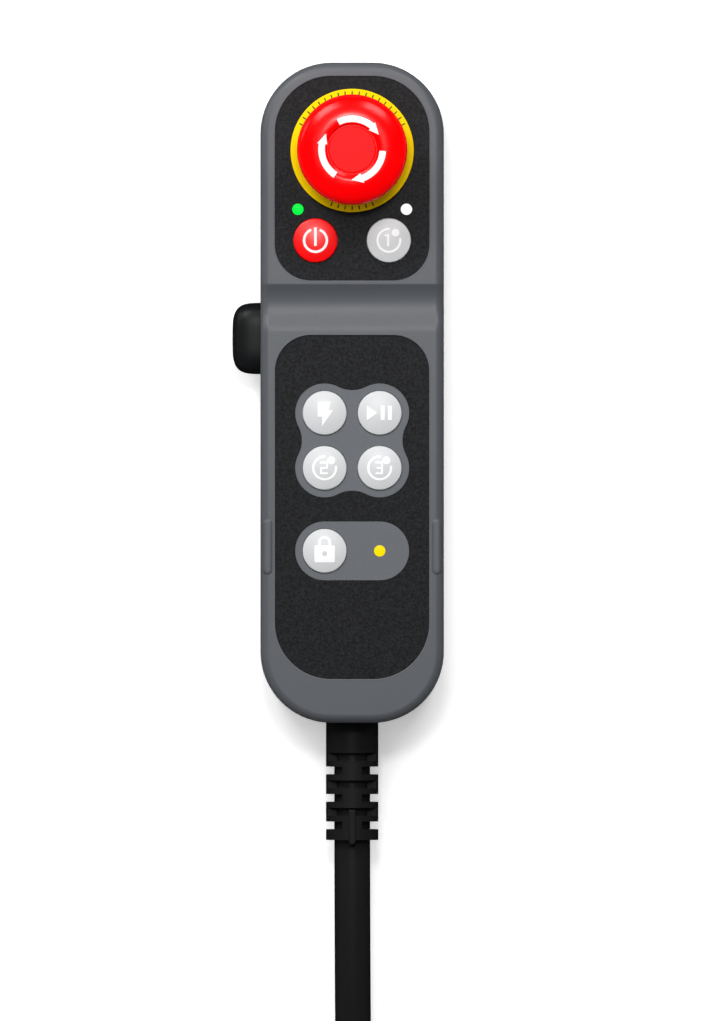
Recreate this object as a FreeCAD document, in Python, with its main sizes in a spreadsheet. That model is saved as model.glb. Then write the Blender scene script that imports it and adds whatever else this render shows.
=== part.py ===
import FreeCAD
import Part

import math
import os

import Sketcher
from FreeCAD import Placement, Rotation, Vector

# A hand-held control pendant, in millimetres. It lies on its back: the origin is the centre of the flat
# back, X runs across the housing, Y towards the emergency-stop end and Z out of the front.

# The driving dimensions: alias, value, meaning.
SIZES = (
    # housing
    ("body_width", 50, "housing across"),
    ("body_length", 180, "housing end to end"),
    ("body_height", 36, "housing back to front rim"),
    ("corner_radius", 19.4, "corners of the housing outline"),
    ("split_height", 18, "parting plane of the shells above the back"),
    ("wall", 2.4, "side walls and floor of the shells"),
    ("roof", 2.4, "front wall under the panels"),
    ("front_edge_radius", 2.4, "rounding of the front outer edge"),
    ("back_edge_radius", 7, "rounding of the back outer edge"),
    ("parting_chamfer", 0.3, "chamfer on both shells at the parting line"),
    ("seal_width", 1.0, "shell seal across its wall"),
    ("seal_height", 0.8, "shell seal above its groove floor"),
    ("seal_gap", 0.05, "play between the shell seal and its groove"),
    ("part_gap", 0.1, "play between fixed pieces and the openings they sit in"),
    # saddle between the panels
    ("saddle_radius", 12, "hollow of the saddle"),
    ("saddle_depth", 1.4, "saddle below the rim"),
    ("saddle_upper_round", 1.2, "edge of the saddle at the upper panel"),
    ("saddle_lower_round", 8, "edge of the saddle towards the lower panel"),
    ("panel_lip", 0.5, "flat lip round a panel"),
    # grip pads on the long rims
    ("grip_top", 50.1, "top end of a grip pad below the lower panel's top edge"),
    ("grip_length", 15.3, "grip pad along the rim"),
    ("grip_rise", 0.3, "grip pad above the rim"),
    ("grip_inset", 0.55, "grip pad in from the housing side"),
    ("grip_round", 1.1, "rounding of the grip pad's top"),
    # panels
    ("rim_width", 3.8, "rim between the housing side and a panel"),
    ("top_margin", 3.6, "upper panel below the housing's top end"),
    ("upper_panel_length", 56, "upper panel"),
    ("lower_panel_length", 94, "lower panel"),
    ("bottom_margin", 11.8, "lower panel above the housing's bottom end"),
    ("panel_outer_radius", 15.5, "panel corners near a housing end"),
    ("panel_inner_radius", 10, "panel corners near the saddle"),
    ("panel_recess", 1.4, "panel recess below the rim"),
    ("panel_thickness", 1.0, "panel sheet"),
    ("surround_rise", 0.15, "grey surround above its panel"),
    ("surround_radius", 8, "surround beyond a key's centre"),
    ("surround_waist", 1.8, "inward bend of the four-key surround between its lobes"),
    # keys
    ("key_radius", 6, "keycap"),
    ("key_gap", 0.15, "play round a keycap"),
    ("key_flange_radius", 7, "keycap flange behind the front wall"),
    ("key_flange", 1.0, "keycap flange thickness"),
    ("key_rest_gap", 0.1, "released keycap flange below the front wall"),
    ("key_rise", 0.7, "keycap edge above the panel"),
    ("key_dome", 0.8, "keycap dome above its edge"),
    ("key_edge_round", 0.3, "rounding of the keycap edge"),
    ("key_pitch", 15, "keys of the four-key group"),
    ("upper_key_pitch", 20, "the two upper keys"),
    ("upper_key_drop", 11.1, "upper keys above the upper panel's lower edge"),
    ("four_key_drop", 28.8, "centre of the four keys below the lower panel's top edge"),
    ("lock_key_drop", 58.9, "lock key below the lower panel's top edge"),
    # lamps
    ("lamp_radius", 1.5, "lamp lens"),
    ("lamp_flange_radius", 2.1, "lamp lens flange behind the front wall"),
    ("lamp_pitch", 29.6, "the two upper lamps"),
    ("lamp_row", 19.6, "upper lamps above the upper panel's lower edge"),
    ("lamp_rise", 0.1, "lamp lens above its panel"),
    # boards and mats
    ("board_drop", 5.2, "board top below the front wall"),
    ("board_thickness", 1.6, "circuit board"),
    ("board_half_width", 14, "lower board and mat from the centre line"),
    ("mat_thickness", 0.8, "rubber key mat"),
    ("mat_dome_radius", 4.2, "rubber spring under a key"),
    ("mat_gap", 0.05, "rubber spring below its key"),
    ("post_radius", 2.2, "board post"),
    ("board_screw_radius", 1.0, "board screw shank"),
    ("board_screw_length", 5, "board screw shank"),
    ("board_screw_head_radius", 2, "board screw head"),
    ("board_screw_head_height", 1, "board screw head"),
    ("thread_gap", 0.03, "play in a screw's hole"),
    # emergency stop
    ("stop_drop", 24, "emergency stop below the housing's top end"),
    ("stop_ring_radius", 16.8, "yellow ring"),
    ("stop_ring_thickness", 0.8, "yellow ring"),
    ("stop_seal_thickness", 0.8, "seal under the barrel's flange"),
    ("stop_barrel_radius", 8, "threaded barrel"),
    ("stop_barrel_length", 18, "barrel below the ring"),
    ("stop_flange_radius", 11.5, "barrel flange above the ring"),
    ("stop_flange_height", 4, "barrel flange above the ring"),
    ("stop_head_radius", 15, "mushroom head"),
    ("stop_head_height", 12.1, "mushroom head, rim to crest"),
    ("stop_head_clear", 7, "head rim above the yellow ring"),
    ("stop_crest_radius", 8.7, "circle of the head's highest points"),
    ("stop_crown_radius", 11, "outward curve of the head"),
    ("stop_dish_radius", 4, "inward curve of the head"),
    ("stop_moat_outer", 6.95, "groove round the head's middle disc"),
    ("stop_moat_inner", 6.3, "groove round the head's middle disc"),
    ("stop_disc_drop", 0.7, "middle disc below the crest"),
    ("stop_moat_drop", 1.4, "groove floor below the crest"),
    ("stop_edge_round", 2.6, "outer edge of the head"),
    ("stop_stem_radius", 3, "stem"),
    ("stop_travel", 4, "push of the head"),
    ("stop_nut_height", 3, "nut behind the front wall"),
    ("stop_nut_flats", 20, "nut across its flats"),
    ("shaft_gap", 0.08, "radial play of a sliding or turning shaft"),
    ("spring_wire", 0.4, "radius of the stop spring's wire"),
    ("spring_radius", 4.2, "coil radius of the stop spring"),
    ("contact_block_width", 20, "contact block"),
    ("contact_block_height", 14, "contact block"),
    # enabling switch
    ("enable_drop", 15.5, "enabling switch below the upper panel's lower edge"),
    ("enable_length", 19.6, "enabling button along the housing"),
    ("enable_height", 14, "enabling button back to front"),
    ("enable_proud", 7.7, "enabling button beyond the housing side"),
    ("enable_corner", 5, "enabling button, corners of its outline"),
    ("enable_edge", 4.7, "enabling button, rounding of its outer face"),
    ("enable_travel", 4, "push of the enabling button"),
    ("enable_gap", 0.3, "play round the enabling button"),
    ("enable_flange", 1.2, "enabling button's flange beyond its outline"),
    ("enable_frame_wall", 1.6, "guide frame wall"),
    ("enable_frame_depth", 7, "guide frame"),
    ("enable_body_depth", 11, "three-position switch"),
    ("plunger_radius", 2, "enabling plunger"),
    # strain relief and cable
    ("cable_radius", 4.9, "cable"),
    ("relief_radius", 7.15, "strain relief"),
    ("relief_bore_gap", 0.05, "play between the cable and the strain relief"),
    ("relief_length", 32.1, "strain relief beyond the housing"),
    ("relief_collar", 8.3, "plain collar of the strain relief"),
    ("relief_slot", 2.15, "slot of the strain relief"),
    ("relief_ring", 1.6, "ring of the strain relief"),
    ("relief_web", 2.7, "half the width of a web between rings"),
    ("relief_flange_radius", 9, "strain relief flange inside the wall"),
    ("relief_flange", 2.4, "strain relief flange"),
    ("rib_half_width", 0.95, "rib on the strain relief"),
    ("rib_start", 23.8, "rib below the housing's bottom end"),
    ("rib_length", 9.5, "rib along the strain relief"),
    ("clamp_half_width", 11.5, "cable clamp"),
    ("clamp_length", 8, "cable clamp along the cable"),
    ("clamp_place", 12, "cable clamp's centre above the housing's bottom end"),
    ("clamp_screw_reach", 8.4, "clamp screws from the centre line"),
    # fasteners
    ("screw_radius", 1.5, "case and clamp screws"),
    ("screw_head_radius", 2.75, "case and clamp screws"),
    ("screw_head_height", 2, "case and clamp screws"),
    ("screw_seat", 5, "case screw head above the back"),
    ("screw_length", 19, "case screw shank"),
    ("insert_radius", 2.3, "brass insert"),
    ("insert_length", 6, "brass insert"),
    ("boss_inset", 6.8, "upper and middle bosses in from the housing side"),
    ("foot_boss_inset", 8.5, "lower bosses in from the housing side"),
    ("boss_radius", 3.5, "front boss"),
    ("column_radius", 4.2, "rear column"),
    # connector
    ("plug_radius", 10.5, "connector shell"),
    ("plug_ring_radius", 12, "connector coupling ring"),
    ("plug_nose_radius", 9, "connector nose"),
    ("plug_journal_radius", 9.8, "connector shell inside its coupling ring"),
    ("plug_nose_bore", 7.7, "connector nose, inside"),
    ("plug_nut_radius", 10, "connector cable nut"),
    ("plug_nut_length", 14, "connector cable nut"),
    ("plug_body_length", 26, "connector shell behind its ring"),
    ("plug_ring_length", 13, "connector coupling ring"),
    ("plug_nose_length", 8, "connector nose beyond its ring"),
    ("pin_radius", 0.8, "connector pin"),
    ("pin_circle", 4.6, "circle of the connector pins"),
)

# The cable's free route, from just inside the strain relief to the hank, and from the hank to the
# connector. The points are chosen by hand and stay as they are.
ROUTE = ((0, -93, 18), (0, -146, 18), (0.5, -201, 8), (17, -253, 5.9), (20.1, -300, 5.9))
TAIL = ((-58.3, -315, 15.7), (-58.4, -283, 15.4), (-58.2, -251, 12.4), (-58.3, -227, 12.1))
TAIL_IN_PLUG = 9  # length of the cable's end inside the connector
CABLE_MIN_BENDS = 5  # least bend radius of the cable, in diameters

# The hank: turns wound two side by side and four high between two rows of end folds.
HANK_X = -19.1
HANK_NEAR_Y = -271
HANK_RUN = 75
HANK_FLOOR = 1.0
HANK_LAYERS = 4
TIES = (("left", -3.5, -318), ("right", 3.5, -300))  # name, diameters from the hank's middle, Y
TIE_THICKNESS = 1.0
TIE_WIDTH = 12
TIE_SLACK = 0.4


class Size:
    """A length that knows its number and the sheet expression that gives it."""

    def __init__(self, number, text):
        self.number = float(number)
        self.text = text

    def __add__(self, other):
        other = as_size(other)
        return Size(self.number + other.number, f"({self.text} + {other.text})")

    def __sub__(self, other):
        other = as_size(other)
        return Size(self.number - other.number, f"({self.text} - {other.text})")

    def __mul__(self, other):
        other = as_size(other)
        return Size(self.number * other.number, f"({self.text} * {other.text})")

    def __truediv__(self, other):
        other = as_size(other)
        return Size(self.number / other.number, f"({self.text} / {other.text})")

    def __radd__(self, other):
        return as_size(other) + self

    def __rsub__(self, other):
        return as_size(other) - self

    def __rmul__(self, other):
        return as_size(other) * self

    def __neg__(self):
        return Size(-self.number, f"(-{self.text})")

    def root(self):
        return Size(math.sqrt(self.number), f"sqrt({self.text})")


def as_size(value):
    return value if isinstance(value, Size) else Size(value, f"({float(value):.10g})")


class Sizes:
    """The sheet's cells by alias."""

    def __init__(self, sheet):
        for row, (alias, value, meaning) in enumerate(SIZES, start=1):
            sheet.set(f"A{row}", alias)
            sheet.set(f"B{row}", str(value))
            sheet.set(f"C{row}", meaning)
            sheet.setAlias(f"B{row}", alias)
            setattr(self, alias, Size(value, f"sizes.{alias}"))


doc = FreeCAD.newDocument("pendant")
s = Sizes(doc.addObject("Spreadsheet::Sheet", "sizes"))
doc.recompute()
nodes = []

# ---------------------------------------------------------------------------------------------------
# Places that several pieces share
# ---------------------------------------------------------------------------------------------------
half_width = s.body_width / 2
top_end = s.body_length / 2
bottom_end = -top_end
panel_half_width = half_width - s.rim_width
upper_panel_top = top_end - s.top_margin
upper_panel_bottom = upper_panel_top - s.upper_panel_length
lower_panel_bottom = bottom_end + s.bottom_margin
lower_panel_top = lower_panel_bottom + s.lower_panel_length

recess_floor = s.body_height - s.panel_recess
panel_top = recess_floor + s.panel_thickness
ceiling = recess_floor - s.roof
key_seat = ceiling - s.key_rest_gap - s.key_flange
board_top = ceiling - s.board_drop
board_bottom = board_top - s.board_thickness

stop_place = top_end - s.stop_drop
upper_key_row = upper_panel_bottom + s.upper_key_drop
lamp_row = upper_panel_bottom + s.lamp_row
four_key_place = lower_panel_top - s.four_key_drop
lock_key_row = lower_panel_top - s.lock_key_drop
half_pitch = s.key_pitch / 2
enable_place = upper_panel_bottom - s.enable_drop
axis_height = s.split_height

UPPER_KEYS = {
    "power_key": (-(s.upper_key_pitch / 2), upper_key_row),
    "preset_one_key": (s.upper_key_pitch / 2, upper_key_row),
}
LOWER_KEYS = {
    "charge_key": (-half_pitch, four_key_place + half_pitch),
    "play_pause_key": (half_pitch, four_key_place + half_pitch),
    "preset_two_key": (-half_pitch, four_key_place - half_pitch),
    "preset_three_key": (half_pitch, four_key_place - half_pitch),
    "lock_key": (-half_pitch, lock_key_row),
}
UPPER_LAMPS = {
    "green_lamp_lens": (-(s.lamp_pitch / 2), lamp_row),
    "white_lamp_lens": (s.lamp_pitch / 2, lamp_row),
}
LOWER_LAMPS = {"yellow_lamp_lens": (half_pitch, lock_key_row)}

boss_reach = half_width - s.boss_inset
foot_boss_reach = half_width - s.foot_boss_inset
boss_rows = (
    (boss_reach, top_end - 16),
    (boss_reach, lower_panel_top - 19),
    (foot_boss_reach, bottom_end + 26),
)
BOSSES = [(side * reach, row) for reach, row in boss_rows for side in (-1, 1)]

upper_post_x = as_size(0)
UPPER_POSTS = [(upper_post_x, upper_key_row - 6), (upper_post_x, upper_key_row + 9)]
lower_board_top = four_key_place + half_pitch + 12.5
lower_board_bottom = lock_key_row - 14.5
post_reach = s.board_half_width - 2.6
LOWER_POSTS = [
    (side * post_reach, row)
    for row in (lower_board_top - 3.4, lower_board_bottom + 3.6)
    for side in (-1, 1)
]
upper_board_reach = s.upper_key_pitch / 2 + 8
upper_board_bottom = upper_key_row - 9.4
upper_board_top = lamp_row + 3.4


# ---------------------------------------------------------------------------------------------------
# Modelling helpers
# ---------------------------------------------------------------------------------------------------
def bind(thing, name, size):
    """Ties a property to the sheet."""
    thing.setExpression(name, as_size(size).text)


def node(thing, label):
    """Names a finished piece; it is written to a file of that name."""
    thing.Label = label
    nodes.append(thing)
    return thing


def place(thing, x=0, y=0, z=0, turn=None):
    """Puts a piece in its place, with its coordinates tied to the sheet."""
    where = [as_size(v) for v in (x, y, z)]
    thing.Placement = Placement(Vector(*[v.number for v in where]), turn or Rotation())
    for name, size in zip("xyz", where):
        bind(thing, f"Placement.Base.{name}", size)
    return thing


def new_body(label):
    return node(doc.addObject("PartDesign::Body", label), label)


def new_sketch(body, name, plane="XY", offset=0):
    """A sketch on one of the body's own planes, moved along that plane's normal."""
    sketch = body.newObject("Sketcher::SketchObject", name)
    base = next(f for f in body.Origin.OriginFeatures if f.Role == f"{plane}_Plane")
    sketch.AttachmentSupport = (base, [""])
    sketch.MapMode = "FlatFace"
    bind(sketch, "AttachmentOffset.Base.z", offset)
    return sketch


def hold(sketch, kind, size, *where):
    """Adds a sketch dimension that is tied to the sheet."""
    size = as_size(size)
    index = sketch.addConstraint(Sketcher.Constraint(kind, *where, size.number))
    bind(sketch, f"Constraints[{index}]", size)


def circle(sketch, x, y, radius):
    x, y, radius = as_size(x), as_size(y), as_size(radius)
    shape = Part.Circle(Vector(x.number, y.number, 0), Vector(0, 0, 1), radius.number)
    index = sketch.addGeometry(shape)
    hold(sketch, "DistanceX", x, -1, 1, index, 3)
    hold(sketch, "DistanceY", y, -1, 1, index, 3)
    hold(sketch, "Radius", radius, index)


def arc_between(start, end, radius, side):
    """The shorter arc from start to end, with its centre on the left (side 1) or the right (side -1)."""
    chord = end - start
    away = Vector(-chord.y, chord.x, 0).normalize() * side
    rise = math.sqrt(max(radius**2 - (chord.Length / 2) ** 2, 0))
    centre = (start + end) / 2 + away * rise
    first, last = (start, end) if side > 0 else (end, start)
    angles = [math.atan2(p.y - centre.y, p.x - centre.x) for p in (first, last)]
    if angles[1] < angles[0]:
        angles[1] += 2 * math.pi
    return Part.ArcOfCircle(Part.Circle(centre, Vector(0, 0, 1), radius), *angles)


def outline(sketch, corners):
    """A closed outline. A corner is (x, y), reached by a line, or (x, y, radius, side), by an arc."""
    corners = [[as_size(v) for v in c[:3]] + list(c[3:]) for c in corners]
    points = [Vector(c[0].number, c[1].number, 0) for c in corners]
    count = len(corners)
    ends = []
    for i, corner in enumerate(corners):
        start, end = points[i - 1], points[i]
        if len(corner) == 2:
            index = sketch.addGeometry(Part.LineSegment(start, end))
            ends.append((index, 1, 2))
            continue
        index = sketch.addGeometry(arc_between(start, end, corner[2].number, corner[3]))
        ends.append((index, 1, 2) if corner[3] > 0 else (index, 2, 1))
    for i in range(count):
        index, _, last = ends[i]
        following, first, _ = ends[(i + 1) % count]
        sketch.addConstraint(Sketcher.Constraint("Coincident", index, last, following, first))
        hold(sketch, "DistanceX", corners[i][0], -1, 1, index, last)
        hold(sketch, "DistanceY", corners[i][1], -1, 1, index, last)
    for i, corner in enumerate(corners):
        if len(corner) == 4:
            hold(sketch, "Radius", corner[2], ends[i][0])


def rectangle(sketch, left, right, bottom, top):
    outline(sketch, [(left, bottom), (right, bottom), (right, top), (left, top)])


def rounded(sketch, left, right, bottom, top, top_radius, bottom_radius=None):
    """A rectangle with rounded corners."""
    up = as_size(top_radius)
    low = as_size(bottom_radius or top_radius)
    left, right, bottom, top = (as_size(v) for v in (left, right, bottom, top))
    outline(
        sketch,
        [
            (left, bottom + low),
            (left + low, bottom, low, 1),
            (right - low, bottom),
            (right, bottom + low, low, 1),
            (right, top - up),
            (right - up, top, up, 1),
            (left + up, top),
            (left, top - up, up, 1),
        ],
    )


def stadium(sketch, left, right, middle, radius):
    """A bar with half-round ends."""
    left, right, middle = (as_size(v) for v in (left, right, middle))
    outline(
        sketch,
        [
            (left, middle, radius, 1),
            (left + radius, middle - radius, radius, 1),
            (right - radius, middle - radius),
            (right, middle, radius, 1),
            (right - radius, middle + radius, radius, 1),
            (left + radius, middle + radius),
        ],
    )


def pad(body, sketch, length, name, reverse=False):
    feature = body.newObject("PartDesign::Pad", name)
    feature.Profile = sketch
    bind(feature, "Length", length)
    feature.Reversed = reverse
    doc.recompute()
    return feature


def pocket(body, sketch, length, name, reverse=False):
    """Cuts against the sketch's normal, or along it where reverse is true."""
    before = body.Shape.Volume
    feature = body.newObject("PartDesign::Pocket", name)
    feature.Profile = sketch
    bind(feature, "Length", length)
    feature.Reversed = reverse
    doc.recompute()
    if body.Shape.Volume > before - 1e-3:
        raise RuntimeError(f"{name} cuts nothing")
    return feature


def revolve(body, sketch, name):
    """Turns a profile round the sketch's upright axis."""
    feature = body.newObject("PartDesign::Revolution", name)
    feature.Profile = sketch
    feature.ReferenceAxis = (sketch, ["V_Axis"])
    feature.Angle = 360
    doc.recompute()
    return feature


def edges(shape, wanted):
    return [f"Edge{i}" for i, edge in enumerate(shape.Edges, start=1) if wanted(edge)]


def blend_edges(body, wanted, size, name, kind="PartDesign::Fillet"):
    """Rounds or chamfers the edges that pass the test."""
    base = body.Tip
    names = edges(base.Shape, wanted)
    if not names:
        raise RuntimeError(f"{name} finds no edge")
    feature = body.newObject(kind, name)
    feature.Base = (base, names)
    bind(feature, "Radius" if kind.endswith("Fillet") else "Size", size)
    doc.recompute()
    return feature


def near(a, b):
    return abs(a - as_size(b).number) < 1e-4


def level(height):
    """A test for edges that lie flat at a height."""
    return lambda edge: near(edge.BoundBox.ZMin, height) and near(edge.BoundBox.ZMax, height)


def on_housing_side(point):
    """Whether a point lies on the housing's upright outer wall."""
    r = s.corner_radius.number
    dx = abs(point.x) - (half_width.number - r)
    dy = abs(point.y) - (top_end.number - r)
    reach = math.hypot(dx, dy) if dx > 0 and dy > 0 else max(dx, dy)
    return abs(reach - r) < 1e-3


def along_housing_side(low, high):
    """A test for edges that follow the housing's outer wall between two heights."""
    low, high = as_size(low).number, as_size(high).number

    def wanted(edge):
        if edge.BoundBox.ZMin < low - 1e-3 or edge.BoundBox.ZMax > high + 1e-3:
            return False
        first, last = edge.ParameterRange
        samples = [edge.valueAt(first + (last - first) * k / 4) for k in range(5)]
        return all(on_housing_side(p) for p in samples)

    return wanted


def housing_outline(sketch, inset):
    """The housing's outline, moved inwards by the inset."""
    reach = half_width - inset
    end = top_end - inset
    rounded(sketch, -reach, reach, -end, end, s.corner_radius - inset)


def box(name, left, right, bottom, top, low, high):
    """A plain block between six planes."""
    thing = doc.addObject("Part::Box", name)
    left, bottom, low = as_size(left), as_size(bottom), as_size(low)
    bind(thing, "Length", as_size(right) - left)
    bind(thing, "Width", as_size(top) - bottom)
    bind(thing, "Height", as_size(high) - low)
    return place(thing, left, bottom, low)


def cylinder(name, radius, height, x=0, y=0, z=0, turn=None):
    thing = doc.addObject("Part::Cylinder", name)
    bind(thing, "Radius", radius)
    bind(thing, "Height", height)
    return place(thing, x, y, z, turn)


def fuse(name, things):
    thing = doc.addObject("Part::MultiFuse", name)
    thing.Shapes = things
    thing.Refine = True
    return thing


def group(name, things):
    """Separate solids of one kind, kept as one piece of the list."""
    thing = doc.addObject("Part::Compound", name)
    thing.Links = things
    return node(thing, name)


def cut(name, base, tool):
    thing = doc.addObject("Part::Cut", name)
    thing.Base = base
    thing.Tool = tool
    return thing


def screw(name, x, y, seat, length, radius, head_radius, head_height, up=True):
    """A pan-head screw whose head lies against a seat, with its shank going up or down from it."""
    x, y, seat = as_size(x), as_size(y), as_size(seat)
    shank = cylinder(f"{name}_shank", radius, length, x, y, seat if up else seat - length)
    head_at = seat - head_height if up else seat
    head = cylinder(f"{name}_head", head_radius, head_height, x, y, head_at)
    return fuse(name, [shank, head])


# ---------------------------------------------------------------------------------------------------
# Housing
# ---------------------------------------------------------------------------------------------------
saddle_half = (s.saddle_radius * s.saddle_depth * 2 - s.saddle_depth * s.saddle_depth).root()
saddle_place = upper_panel_bottom - s.panel_lip - 0.4 - saddle_half
grip_from = lower_panel_top - s.grip_top
opening_half_length = s.enable_length / 2 + s.enable_gap
opening_half_height = s.enable_height / 2 + s.enable_gap
OUTSIDE = 1.0  # how far a cutting sketch stands off the face it cuts


def panel_outline(sketch, top, bottom, top_radius, bottom_radius, grow):
    reach = panel_half_width + grow
    rounded(
        sketch, -reach, reach, bottom - grow, top + grow, top_radius + grow, bottom_radius + grow
    )


def upper_panel_outline(sketch, grow):
    panel_outline(
        sketch, upper_panel_top, upper_panel_bottom, s.panel_outer_radius, s.panel_inner_radius, grow
    )


def lower_panel_outline(sketch, grow):
    panel_outline(
        sketch, lower_panel_top, lower_panel_bottom, s.panel_inner_radius, s.panel_outer_radius, grow
    )


def front_openings(sketch, keys, lamps):
    """The holes that keys and lamps come through."""
    for x, y in keys.values():
        circle(sketch, x, y, s.key_radius + s.key_gap)
    for x, y in lamps.values():
        circle(sketch, x, y, s.lamp_radius + s.mat_gap)


def side_opening(body):
    """The enabling button's opening in the left wall."""
    sketch = new_sketch(body, f"{body.Label}_side", "YZ", -half_width - OUTSIDE)
    rounded(
        sketch,
        enable_place - opening_half_length,
        enable_place + opening_half_length,
        axis_height - opening_half_height,
        axis_height + opening_half_height,
        s.enable_corner + s.enable_gap,
    )
    pocket(body, sketch, s.wall + 2 * OUTSIDE, f"{body.Label}_side_opening", reverse=True)


def relief_opening(body):
    """The strain relief's opening in the bottom wall."""
    sketch = new_sketch(body, f"{body.Label}_end", "XZ", top_end + OUTSIDE)
    circle(sketch, 0, axis_height, s.relief_radius + s.part_gap)
    pocket(body, sketch, s.wall + 2 * OUTSIDE, f"{body.Label}_end_opening")


def front_shell():
    body = new_body("front_shell")
    block = new_sketch(body, "front_outline", "XY", s.split_height)
    housing_outline(block, 0)
    pad(body, block, s.body_height - s.split_height, "front_block")

    trough = new_sketch(body, "saddle_circle", "YZ", -half_width - OUTSIDE)
    circle(trough, saddle_place, s.body_height - s.saddle_depth + s.saddle_radius, s.saddle_radius)
    pocket(body, trough, s.body_width + 2 * OUTSIDE, "saddle", reverse=True)

    def across_at(y):
        def wanted(edge):
            bounds = edge.BoundBox
            flat = near(bounds.ZMin, s.body_height) and near(bounds.ZMax, s.body_height)
            return flat and near(bounds.YMin, y) and near(bounds.YMax, y)

        return wanted

    blend_edges(body, across_at(saddle_place - saddle_half), s.saddle_lower_round, "saddle_lower_edge")
    blend_edges(body, across_at(saddle_place + saddle_half), s.saddle_upper_round, "saddle_upper_edge")
    rim = along_housing_side(s.body_height - s.saddle_depth - 1, s.body_height)
    blend_edges(body, rim, s.front_edge_radius, "front_edge")
    parting = along_housing_side(s.split_height, s.split_height)
    blend_edges(body, parting, s.parting_chamfer, "front_parting", "PartDesign::Chamfer")

    grips = new_sketch(body, "grip_outlines", "XY", s.body_height - s.front_edge_radius)
    inner = panel_half_width + s.panel_lip
    outer = half_width - s.grip_inset
    grip_corner = (outer - inner) / 2 - 0.05
    for left, right in ((-outer, -inner), (inner, outer)):
        rounded(grips, left, right, grip_from - s.grip_length, grip_from, grip_corner)
    pad(body, grips, s.front_edge_radius + s.grip_rise, "grips")
    grip_top = s.body_height + s.grip_rise
    blend_edges(body, level(grip_top), s.grip_round, "grip_edges")

    hollow = new_sketch(body, "front_hollow_outline", "XY", s.split_height)
    housing_outline(hollow, s.wall)
    pocket(body, hollow, ceiling - s.split_height, "front_hollow", reverse=True)

    recesses = new_sketch(body, "recess_outlines", "XY", s.body_height)
    upper_panel_outline(recesses, s.part_gap)
    lower_panel_outline(recesses, s.part_gap)
    pocket(body, recesses, s.panel_recess, "panel_recesses")

    openings = new_sketch(body, "front_openings", "XY", ceiling - OUTSIDE)
    front_openings(openings, UPPER_KEYS | LOWER_KEYS, UPPER_LAMPS | LOWER_LAMPS)
    circle(openings, 0, stop_place, s.stop_barrel_radius + s.part_gap)
    pocket(body, openings, s.roof + 2 * OUTSIDE, "front_holes", reverse=True)

    bosses = new_sketch(body, "boss_circles", "XY", s.split_height)
    for x, y in BOSSES:
        circle(bosses, x, y, s.boss_radius)
    pad(body, bosses, ceiling - s.split_height, "bosses")
    posts = new_sketch(body, "post_circles", "XY", board_top)
    for x, y in UPPER_POSTS + LOWER_POSTS:
        circle(posts, x, y, s.post_radius)
    pad(body, posts, ceiling - board_top, "posts")

    insert_holes = new_sketch(body, "insert_holes", "XY", s.split_height)
    for x, y in BOSSES:
        circle(insert_holes, x, y, s.insert_radius + s.thread_gap)
    pocket(body, insert_holes, s.insert_length + 2, "insert_bores", reverse=True)
    pilots = new_sketch(body, "pilot_holes", "XY", board_top)
    for x, y in UPPER_POSTS + LOWER_POSTS:
        circle(pilots, x, y, s.board_screw_radius + s.thread_gap)
    pocket(body, pilots, s.board_screw_length - s.board_thickness + 0.4, "pilot_bores", reverse=True)

    side_opening(body)
    relief_opening(body)


def rear_shell():
    body = new_body("rear_shell")
    block = new_sketch(body, "rear_outline", "XY", 0)
    housing_outline(block, 0)
    pad(body, block, s.split_height, "rear_block")
    blend_edges(body, level(0), s.back_edge_radius, "back_edge")
    parting = along_housing_side(s.split_height, s.split_height)
    blend_edges(body, parting, s.parting_chamfer, "rear_parting", "PartDesign::Chamfer")

    hollow = new_sketch(body, "rear_hollow_outline", "XY", s.split_height)
    housing_outline(hollow, s.wall)
    pocket(body, hollow, s.split_height - s.wall, "rear_hollow")
    blend_edges(body, level(s.wall), s.back_edge_radius - s.wall, "hollow_edge")

    columns = new_sketch(body, "column_circles", "XY", s.wall)
    for x, y in BOSSES:
        circle(columns, x, y, s.column_radius)
    pad(body, columns, s.split_height - s.wall, "columns")
    shanks = new_sketch(body, "shank_holes", "XY", s.split_height)
    for x, y in BOSSES:
        circle(shanks, x, y, s.screw_radius + s.enable_gap)
    pocket(body, shanks, s.split_height, "shank_bores")
    heads = new_sketch(body, "head_holes", "XY", 0)
    for x, y in BOSSES:
        circle(heads, x, y, s.screw_head_radius + s.enable_gap)
    pocket(body, heads, s.screw_seat, "head_bores", reverse=True)

    pedestals = new_sketch(body, "pedestal_outlines", "XY", s.wall)
    clamp_y = bottom_end + s.clamp_place
    half_clamp = s.clamp_length / 2
    rectangle(
        pedestals, -s.clamp_half_width, s.clamp_half_width, clamp_y - half_clamp, clamp_y + half_clamp
    )
    pad(body, pedestals, axis_height - s.wall - s.enable_gap, "clamp_pedestal")
    rest = new_sketch(body, "switch_rest_outline", "XY", s.wall)
    rectangle(
        rest, frame_left + 3, frame_left + s.enable_frame_depth + s.enable_body_depth - 2,
        enable_place - 8, enable_place + 8,
    )
    pad(body, rest, frame_bottom - s.wall, "switch_rest")
    groove = new_sketch(body, "cable_groove_circle", "XZ", top_end - s.clamp_place + s.clamp_length)
    circle(groove, 0, axis_height, s.cable_radius)
    pocket(body, groove, 2 * s.clamp_length, "cable_groove")
    taps = new_sketch(body, "clamp_holes", "XY", axis_height - s.enable_gap)
    for side in (-1, 1):
        circle(taps, side * s.clamp_screw_reach, clamp_y, s.screw_radius + s.thread_gap)
    pocket(body, taps, 9, "clamp_bores")

    seal = new_sketch(body, "seal_groove_outline", "XY", s.split_height)
    housing_outline(seal, (s.wall - s.seal_width) / 2 - s.seal_gap)
    housing_outline(seal, (s.wall + s.seal_width) / 2 + s.seal_gap)
    pocket(body, seal, s.seal_height, "seal_groove")

    side_opening(body)
    relief_opening(body)


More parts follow.
